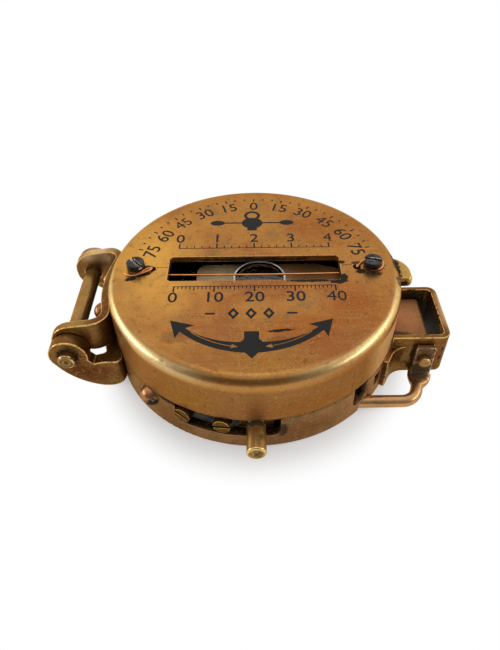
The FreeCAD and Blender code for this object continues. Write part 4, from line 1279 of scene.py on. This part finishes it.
        AgedBrass(
            "clamp_brass", (88, 62, 30), (66, 42, 22), (56, 46, 26), (190, 146, 76), Axis.CAST,
            metal=0.85, gloss=(0.24, 0.4), grime=0.7, rub=1.0, crevice=(0.9, 1.5), seed=12.7,
            zones=(Zone((30.0, 36.9), (4.0, 11.5), (22, 18, 13), 0.9, 0.3),),
        ),
        AgedBrass(
            "inner_brass", (150, 112, 56), (126, 82, 40), (104, 84, 48), (222, 190, 122), Axis.CAST,
            gloss=(0.3, 0.45), grime=0.3, crevice=(0.8, 3.0), seed=13.0,
        ),
        AgedBrass(
            "scale_brass", (188, 146, 74), (162, 112, 54), (136, 112, 60), (230, 198, 130), Axis.CAST,
            gloss=(0.3, 0.42), grime=0.2, seed=14.0,
        ),
        AgedBrass(
            "rivet_copper", (188, 134, 88), (140, 86, 56), (92, 64, 46), (240, 196, 152), Axis.CAST,
            metal=0.9, gloss=(0.22, 0.36), grime=0.6, dents=0.1, seed=15.0,
            # The stud's lower right half painted dark as shade
            stains=(Stain((-24.9, -30.4, 6.4), (2.9, 2.9, 2.9), colour=(20, 17, 15)),),
        ),
        PlainMetal("wire_copper", (240, 164, 104), (188, 116, 66), gloss=(0.22, 0.36), pace=0.35, share=0.5),
        PlainMetal("blued_steel", (72, 70, 68), (26, 24, 22), 0.85, (0.24, 0.42), 0.7, 0.75, (206, 194, 176)),
        PlainMetal("spring_steel", (150, 150, 148), (96, 92, 86), gloss=(0.2, 0.35)),
        PlainMetal("magnet_steel", (92, 94, 98), (60, 58, 56), gloss=(0.3, 0.45)),
        PlainMetal("dark_plate", (74, 73, 64), (20, 21, 18), 0.3, (0.6, 0.8), 0.5, 0.97, (150, 116, 70)),
        ClearGlass("lens_glass", (1.3, 0.3), 6.8),
        ClearGlass("dial_glass", (0.0, 0.0), 28.2),
        Paint("black_fill", (24, 23, 22), (58, 44, 28), 0.4, (0.5, 0.65), 1.2, shine=0.2),
        Paint("bowl_black", (17, 16, 15), (36, 31, 25), 0.5),
        Paint("card_black", (18, 18, 18), (34, 33, 31), 0.5, (0.55, 0.7)),
        Paint("card_white", (222, 216, 196), (188, 178, 150), 0.5, (0.55, 0.7)),
        Paint("jewel_red", (132, 24, 40), (96, 16, 30), 0.4, (0.05, 0.12)),
    )

    def __post_init__(self) -> None:
        """Makes every material."""
        for recipe in self.RECIPES:
            self.made[recipe.title] = recipe.make()

    def __getitem__(self, title: str) -> bpy.types.Material:
        """The material of that name."""
        return self.made[title]


@dataclass(frozen=True)
class Rule:
    """A straight scale on the lid.

    up is 1 where its strokes stand above the line and -1 where they stand below it. unit is what one space is
    called, and fine how many parts it has.
    """

    base: float
    up: int
    unit: int
    fine: int
    half: float = 20.0
    spaces: int = 4
    overhang: float = 0.2
    figure_size: float = 5.0
    figure_rise: float = 4.1
    weight: float = 0.05

    def cut(self, marks: Marks) -> None:
        """Cuts the strokes, the line and the figures.

        Args:
            marks: The marks that they join.
        """
        steps = self.spaces * self.fine
        for i in range(steps + 1):
            half_width, tall = (0.13, 0.95) if i % self.fine else (0.2, 2.0)
            if i % self.fine and 2 * i % self.fine == 0:
                tall = 1.5
            x = -self.half + 2 * self.half * i / steps
            marks.shape([bar(half_width, tall / 2)], (x, self.base + self.up * tall / 2))
        marks.shape([bar(self.half + self.overhang, 0.12)], (0, self.base))
        for i in range(self.spaces + 1):
            place = (-self.half + 2 * self.half * i / self.spaces, self.base + self.up * self.figure_rise)
            marks.number(str(i * self.unit), self.figure_size, place, 0, self.weight)


@dataclass
class Lid:
    """The lid with its tab, its engraved scales and its anchor."""

    finishes: Finishes
    easing: Easing = Easing(0.18)
    figure_radius: float = 27.9
    figure_size: float = 5.2
    figure_weight: float = 0.04
    stroke_radius: float = 31.9
    reach: int = 75
    step: int = 15
    rules: tuple[Rule, ...] = (Rule(8.4, 1, 1, 5), Rule(-7.0, -1, 10, 10))
    row_y: float = -16.7
    lozenge_x: Triple = (-5.1, -0.9, 3.3)
    dash_x: Point = (-10.6, 8.8)
    scribed: tuple[Triple, ...] = ((-25.2, -22.3, 0.5), (22.6, 25.1, 0.9))
    middle_x: float = -0.5
    stock_y: float = 19.8
    arms_middle: Point = (-0.8, -5.5)
    arms_outer: float = 23.6
    arms_half: float = 46.0

    def build(self) -> None:
        """Builds and dresses the lid."""
        self.easing.stand_in("lid_shell", self.finishes["lid_brass"])
        self.easing.stand_in("thumb_tab", self.finishes["tab_brass"])
        self._cut("lid_degree_scale", self._degree_scale)
        self._cut("lid_rules", self._rules)
        self._cut("lid_anchor", self._anchor)

    def _cut(self, name: str, draw: Callable[[Marks], None]) -> None:
        """Draws one piece of filled marks on the lid's top.

        Args:
            name: The piece's name.
            draw: Draws its marks.
        """
        marks = Marks(LID_TOP)
        draw(marks)
        marks.finished(name, "lid", self.finishes["black_fill"])

    def _degree_scale(self, marks: Marks) -> None:
        """Cuts the arc of numbers and the strokes outside it.

        Args:
            marks: The marks that they join.
        """
        marks.graduate(
            range(-self.reach, self.reach + 1, 5), self.step, self.stroke_radius, (0.2, 1.3), (0.2, 0.8)
        )
        for angle in range(-self.reach, self.reach + 1, self.step):
            place = bearing(self.figure_radius, angle)
            marks.number(str(abs(angle)), self.figure_size, place, -angle, self.figure_weight)

    def _rules(self, marks: Marks) -> None:
        """Cuts the two straight rules, the row of lozenges and dashes, and the lines beside the window.

        Args:
            marks: The marks that they join.
        """
        for rule in self.rules:
            rule.cut(marks)
        for x in self.lozenge_x:
            marks.shape([lozenge(1.4, 1.9), lozenge(0.6, -0.85)], (x, self.row_y))
        for x in self.dash_x:
            marks.shape([bar(1.2, 0.3)], (x, self.row_y))
        for start, end, y in self.scribed:
            marks.shape([bar((end - start) / 2, 0.06)], ((start + end) / 2, y))

    def _anchor(self, marks: Marks) -> None:
        """Cuts the anchor: ring, stock and boss above the rules, arms and flukes below.

        Args:
            marks: The marks that they join.
        """
        collar = mirrored([(1.7, 0.0), (1.3, -1.2), (1.3, -2.1)])
        crown = mirrored([(1.7, 0.0), (1.7, -2.4), (3.2, -4.0), (2.2, -5.6), (0.0, -8.2)])
        knob = oval(2.0, 1.15)
        parts = [
            ([oval(2.3, 2.2), oval(1.45, 1.35)], (self.middle_x, 23.3)),
            ([bar(9.0, 0.26)], (self.middle_x, self.stock_y)),
            ([oval(2.9, 2.5)], (self.middle_x, 19.7)),
            ([collar], (self.middle_x, 18.3)),
            ([knob], (self.middle_x - 9.7, self.stock_y)),
            ([knob], (self.middle_x + 9.7, self.stock_y)),
            ([self._arms(), self._groove(-1), self._groove(1)], (0.0, 0.0)),
            ([self._fluke(-1)], (0.0, 0.0)),
            ([self._fluke(1)], (0.0, 0.0)),
            ([crown], (self.arms_middle[0], -22.6)),
        ]
        for outlines, place in parts:
            marks.shape(outlines, place)
            marks.layer += 0.002  # each stands a little higher, so that no two faces coincide

    def _arms(self) -> list[Point]:
        """The curved arms, thin at the ends and thick at the crown.

        Returns:
            Their outline.
        """
        steps = 40
        low = arc(self.arms_outer, 270 - self.arms_half, 270 + self.arms_half, steps, self.arms_middle)
        high = []
        for i, (x, y) in enumerate(reversed(low)):
            thick = 1.5 + 1.9 * (1 - abs(2 * i / steps - 1)) ** 1.2
            out = Vector((x, y)) - Vector(self.arms_middle)
            high.append(tuple(Vector((x, y)) - out.normalized() * thick))
        return low + high

    def _groove(self, side: int) -> list[Point]:
        """The unfilled line along one arm, with an arrowhead at the crown.

        Args:
            side: -1 for the left arm, 1 for the right one.

        Returns:
            Its outline.
        """
        radius, half_width = self.arms_outer - 1.55, 0.13
        start, end = 12.0, self.arms_half - 7.0
        turns = (270 + side * start, 270 + side * end)
        outer = arc(radius + half_width, *turns, 24, self.arms_middle)
        inner = arc(radius - half_width, *reversed(turns), 24, self.arms_middle)
        head = [(radius - 0.7, start), (radius, start - 4.0), (radius + 0.7, start)]
        tip = [arc(r, 270 + side * a, 0, 1, self.arms_middle)[0] for r, a in head]
        return outer + inner + tip

    def _fluke(self, side: int) -> list[Point]:
        """The barbed palm at one end of the arms.

        Args:
            side: -1 for the left end, 1 for the right one.

        Returns:
            Its outline.
        """
        angle = math.radians(270 + side * self.arms_half)
        out = Vector((math.cos(angle), math.sin(angle)))
        along = Vector((-out.y, out.x)) * side
        root = Vector(self.arms_middle) + out * (self.arms_outer - 0.8)
        palm = [(3.6, 0.1), (-1.6, 2.9), (-0.7, 0.75), (-1.8, 0.7), (-1.8, -0.7), (-0.7, -0.75), (-1.6, -2.9)]
        return [tuple(root + along * u + out * v) for u, v in palm]


@dataclass
class SightingWire:
    """The copper wire over the window and the screws that hold its ends."""

    finishes: Finishes
    radius: float = 0.25
    screw_easing: Easing = Easing(0.16)
    taut: tuple[Triple, ...] = (
        (-26.4, 0.1, 24.7), (-26.2, 0.1, 23.6), (-25.8, 0.1, 22.3), (-24.0, 0.1, 22.1), (-8.0, 0.0, 22.0),
        (8.0, 0.0, 22.0), (24.0, 0.1, 22.1), (25.8, 0.1, 22.3), (26.2, 0.15, 23.6), (26.4, 0.2, 24.7),
    )
    left_loop: tuple[Triple, ...] = (
        (-26.3, 0.0, 24.4), (-26.5, -0.7, 24.7), (-27.3, -1.3, 24.6), (-28.6, -2.0, 24.57),
        (-30.4, -2.9, 24.57), (-31.8, -2.9, 24.57), (-32.5, -2.5, 24.6), (-32.9, -2.0, 24.7),
    )
    left_end: tuple[Triple, ...] = (
        (-26.4, 0.1, 24.5), (-27.2, -0.2, 24.8), (-28.2, -0.9, 24.57), (-29.0, -1.7, 24.57),
        (-30.3, -2.1, 24.57), (-31.5, -1.6, 24.57),
    )
    right_loop: tuple[Triple, ...] = (
        (26.3, 0.1, 24.4), (26.2, -0.8, 24.65), (26.9, 0.4, 24.7), (27.8, 1.7, 24.57), (29.0, 2.7, 24.57),
        (31.0, 3.3, 24.57), (33.0, 2.6, 24.57), (33.3, 0.8, 24.57), (32.6, -0.8, 24.57), (31.3, -1.8, 24.57),
        (29.7, -1.9, 24.6),
    )

    def build(self) -> None:
        """Builds the wire, taut over the window and looped at its ends, and dresses the screws."""
        self.screw_easing.stand_in("wire_screws", self.finishes["blued_steel"])
        paths = (self.taut, self.left_loop, self.left_end, self.right_loop)
        runs = [drawn_wire("wire", path, self.radius) for path in paths]
        wire = mounted(join(runs, "sighting_wire"), "lid", self.finishes["wire_copper"])
        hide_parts("sight_wire")


@dataclass
class Hinge:
    """The two brackets on the left, their pin and their rivets."""

    finishes: Finishes
    easing: Easing = Easing(0.28)
    rivet_easing: Easing = Easing(0.1)

    def build(self) -> None:
        """Builds and dresses the hinge."""
        for node in ("upper_hinge_bracket", "lower_hinge_bracket"):
            self.easing.stand_in(node, self.finishes["bracket_brass"])
        self.easing.stand_in("hinge_pin", self.finishes["pin_brass"])
        for node in ("upper_rivets", "lower_rivets"):
            self.rivet_easing.stand_in(node, self.finishes["rivet_copper"])


@dataclass
class BoxAndBail:
    """The bracket on the right with its pin, the lens arm and the bail."""

    finishes: Finishes
    easing: Easing = Easing(0.2)
    bail_easing: Easing = Easing(0.2, split=True)
    arm_easing: Easing = Easing(0.12, split=True)

    def build(self) -> None:
        """Builds and dresses the right side."""
        self.easing.stand_in("box_bracket", self.finishes["bracket_brass"])
        self.easing.stand_in("box_pin", self.finishes["pin_brass"])
        self.bail_easing.stand_in("thumb_bail", self.finishes["bail_brass"])
        self.arm_easing.stand_in("lens_arm", self.finishes["arm_brass"])
        dress(self.finishes["lens_glass"], "lens")


@dataclass
class Case:
    """The case with what shows in its front window."""

    finishes: Finishes
    case_easing: Easing = Easing(0.15, sharp=75.0)
    easing: Easing = Easing(0.12)
    stud_easing: Easing = Easing(0.1)
    spring_easing: Easing = Easing(0.03, sharp=60.0)
    spring_seat: Triple = (0.0, -34.5, 7.8)
    spring_left: float = 0.55

    def build(self) -> None:
        """Builds and dresses the case."""
        self.case_easing.stand_in("case_shell", self.finishes["case_brass"])
        self.easing.stand_in("push_rod", self.finishes["rod_brass"])
        self.easing.stand_in("clamp_screws", self.finishes["clamp_brass"])
        self.easing.stand_in("clamp_plate", self.finishes["dark_plate"])
        self.stud_easing.stand_in("domed_stud", self.finishes["rivet_copper"])
        dress(self.finishes["inner_brass"], "guide_block", "brake_lever")
        dress(self.finishes["spring_steel"], "rod_clip", "brake_pin")
        spring = self.spring_easing.stand_in("rod_spring", self.finishes["spring_steel"])
        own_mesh(spring)


@dataclass
class Works:
    """The bowl with its glass, the card and the ring of degrees."""

    finishes: Finishes
    card_top: float = 9.7
    card_edge: float = 24.2
    card_figures: float = 19.6
    ring_top: float = 11.2
    ring_inner: float = 29.9
    ring_figures: float = 33.0

    def build(self) -> None:
        """Builds and dresses the works."""
        dress(self.finishes["bowl_black"], "compass_bowl", "glass_bezel")
        dress(self.finishes["dial_glass"], "dial_glass")
        dress(self.finishes["scale_brass"], "chapter_ring")
        dress(self.finishes["card_black"], "compass_card")
        dress(self.finishes["magnet_steel"], "needle_magnet")
        dress(self.finishes["inner_brass"], "card_hub", "chapter_posts", "pivot_post")
        dress(self.finishes["spring_steel"], "pivot_point")
        dress(self.finishes["jewel_red"], "pivot_jewel")
        self._card_marks()
        self._ring_marks()

    def _card_marks(self) -> None:
        """Prints the card: strokes, numbers, letters of the quarters and a lozenge for north."""
        marks = Marks(self.card_top)
        marks.graduate(range(0, 360, 5), 10, self.card_edge, (0.16, 1.8), (0.1, 1.0))
        letters = {0: "N", 90: "E", 180: "S", 270: "W"}
        for angle in range(0, 360, 30):
            word, size = (letters[angle], 4.6) if angle in letters else (str(angle), 2.8)
            marks.number(word, size, bearing(self.card_figures, angle), -angle, 0.03)
        north = [(-2.2, 6.4), (0, 5.2), (2.2, 6.4), (0, 16.0)]
        marks.shape([north, [(-1.1, 7.0), (0, 12.6), (1.1, 7.0), (0, 6.4)]])
        marks.shape([oval(5.0, 5.0, 48), oval(4.7, 4.7, 48)])
        marks.finished("card_print", "card", self.finishes["card_white"])

    def _ring_marks(self) -> None:
        """Cuts the ring of degrees."""
        marks = Marks(self.ring_top)
        marks.graduate(range(0, 360, 2), 10, self.ring_inner, (0.12, 1.6), (0.07, 0.9), inward=False)
        for angle in range(0, 360, 20):
            marks.number(str(angle), 2.3, bearing(self.ring_figures, angle), -angle, 0.02)
        marks.finished("ring_degrees", "case", self.finishes["black_fill"])


# Studio


@dataclass(frozen=True)
class SoftBox:
    """One soft light, aimed at the compass."""

    name: str
    place: Triple
    size: Point
    power: float
    aim: Triple = (0.0, 0.0, 10.0)

    def hang(self) -> None:
        """Adds the light."""
        lamp = bpy.data.lights.new(self.name, "AREA")
        lamp.shape = "RECTANGLE"
        lamp.size, lamp.size_y = (side * MM for side in self.size)
        lamp.energy = self.power
        lit = hung(self.name, lamp)
        lit.location = Vector(self.place) * MM
        lit.rotation_euler = (Vector(self.aim) - Vector(self.place)).to_track_quat("-Z", "Y").to_euler()


@dataclass
class Studio:
    """The camera, the lights, the white surroundings and the floor.

    focal, middle and frame_size are in pixels of the photograph. room_edge and ceiling are directions, as
    shares of 1 along y and z. floor_clear is where the floor stops taking shadow, between two distances.
    """

    elevation: float = 43.5
    azimuth: float = 0.05
    roll: float = -0.73
    distance: float = 155.0
    aim: Triple = (0.0, 0.0, 11.0)
    focal: float = 568.0
    middle: Point = (254.86, 305.31)
    frame_size: Point = (500.0, 650.0)
    sensor: float = 36.0
    clip: Point = (0.005, 20.0)
    air: float = 0.62
    air_top: float = 0.1
    room_front: float = 0.22
    room_edge: Point = (-0.75, 0.1)
    ceiling: Point = (0.75, 0.95)
    ceiling_glow: float = 0.85
    floor_half: float = 3000.0
    floor_white: float = 0.93
    floor_glow: float = 0.3
    floor_middle: Point = (0.0, -5.0)
    floor_clear: Point = (33.0, 44.0)
    lights: tuple[SoftBox, ...] = (
        SoftBox("overhead", (0, 60, 420), (300, 200), 0.1),
        SoftBox("left", (-375, 0, 90), (300, 70), 0.34),
        SoftBox("right", (348, -40, 150), (320, 64), 0.32),
    )

    def build(self) -> None:
        """Builds the studio."""
        self._camera()
        self._air()
        self._floor()
        for light in self.lights:
            light.hang()
        bpy.context.scene.view_settings.view_transform = "Standard"

    def _camera(self) -> None:
        """Adds the camera at the photograph's angle."""
        az, el, roll = (math.radians(a) for a in (self.azimuth, self.elevation, self.roll))
        back = Vector((math.sin(az) * math.cos(el), -math.cos(az) * math.cos(el), math.sin(el)))
        level = Vector((math.cos(az), math.sin(az), 0))
        upright = back.cross(level)
        right = level * math.cos(roll) + upright * math.sin(roll)
        up = upright * math.cos(roll) - level * math.sin(roll)
        lens = bpy.data.cameras.new("camera")
        camera = hung("camera", lens)
        turn = Matrix((right, up, back)).transposed().to_4x4()
        camera.matrix_world = Matrix.Translation((Vector(self.aim) + back * self.distance) * MM) @ turn
        width, height = self.frame_size
        lens.sensor_width = self.sensor
        lens.lens = self.focal * self.sensor / height
        lens.shift_x = (width / 2 - self.middle[0]) / height
        lens.shift_y = (self.middle[1] - height / 2) / height
        lens.clip_start, lens.clip_end = self.clip
        bpy.context.scene.camera = camera

    def _air(self) -> None:
        """Makes the surroundings white to the eye, glass and metal, and darker on the camera's side."""
        world = bpy.data.worlds.new("studio")
        bpy.context.scene.world = world
        b = Bench("studio_air", world)
        seen = b.ray("Camera").at_least(b.ray("Transmission"))
        glossy = b.ray("Glossy")
        _, y, z = b.parts(b.node("ShaderNodeTexCoord").outputs["Generated"])
        ceiling = z.ramp(*self.ceiling) * self.ceiling_glow
        backdrop = y.ramp(*self.room_edge, self.room_front, 1.0).at_least(ceiling)
        soft = z * self.air_top + self.air
        strength = seen + (1 - seen) * (glossy * backdrop + (1 - glossy) * soft)
        sky = b.node("ShaderNodeBackground", inputs={"Color": (1, 1, 1, 1), "Strength": strength})
        b.node("ShaderNodeOutputWorld", inputs={"Surface": sky.outputs[0]})

    def _floor(self) -> None:
        """Lays the white floor, which keeps the shadow near the compass."""
        bpy.ops.object.select_all(action="DESELECT")
        bpy.ops.mesh.primitive_circle_add(vertices=64, radius=self.floor_half * MM, fill_type="NGON")
        floor = bpy.context.view_layer.objects.active
        floor.name = "floor"
        b = Bench("white_floor")
        clear = b.away(self.floor_middle).ramp(*self.floor_clear, self.floor_glow, 1.0)
        matte = b.node("ShaderNodeBsdfDiffuse", inputs={"Color": (*(self.floor_white,) * 3, 1)})
        glow = b.node("ShaderNodeEmission", inputs={"Color": (1, 1, 1, 1), "Strength": 1.0})
        seen = b.ray("Camera").at_least(b.ray("Glossy"))
        floor.data.materials.append(b.blend(clear * seen, matte.outputs[0], glow.outputs[0]))


def main() -> None:
    """Builds the sub-assemblies in order."""
    logging.basicConfig(level=logging.INFO, format="%(message)s")
    finishes = Finishes()
    dressed = (kind(finishes) for kind in (Lid, SightingWire, Hinge, BoxAndBail, Case, Works))
    for assembly in (Studio(), *dressed):
        assembly.build()
        log.info("%s done", type(assembly).__name__)


if __name__ == "__main__":
    main()
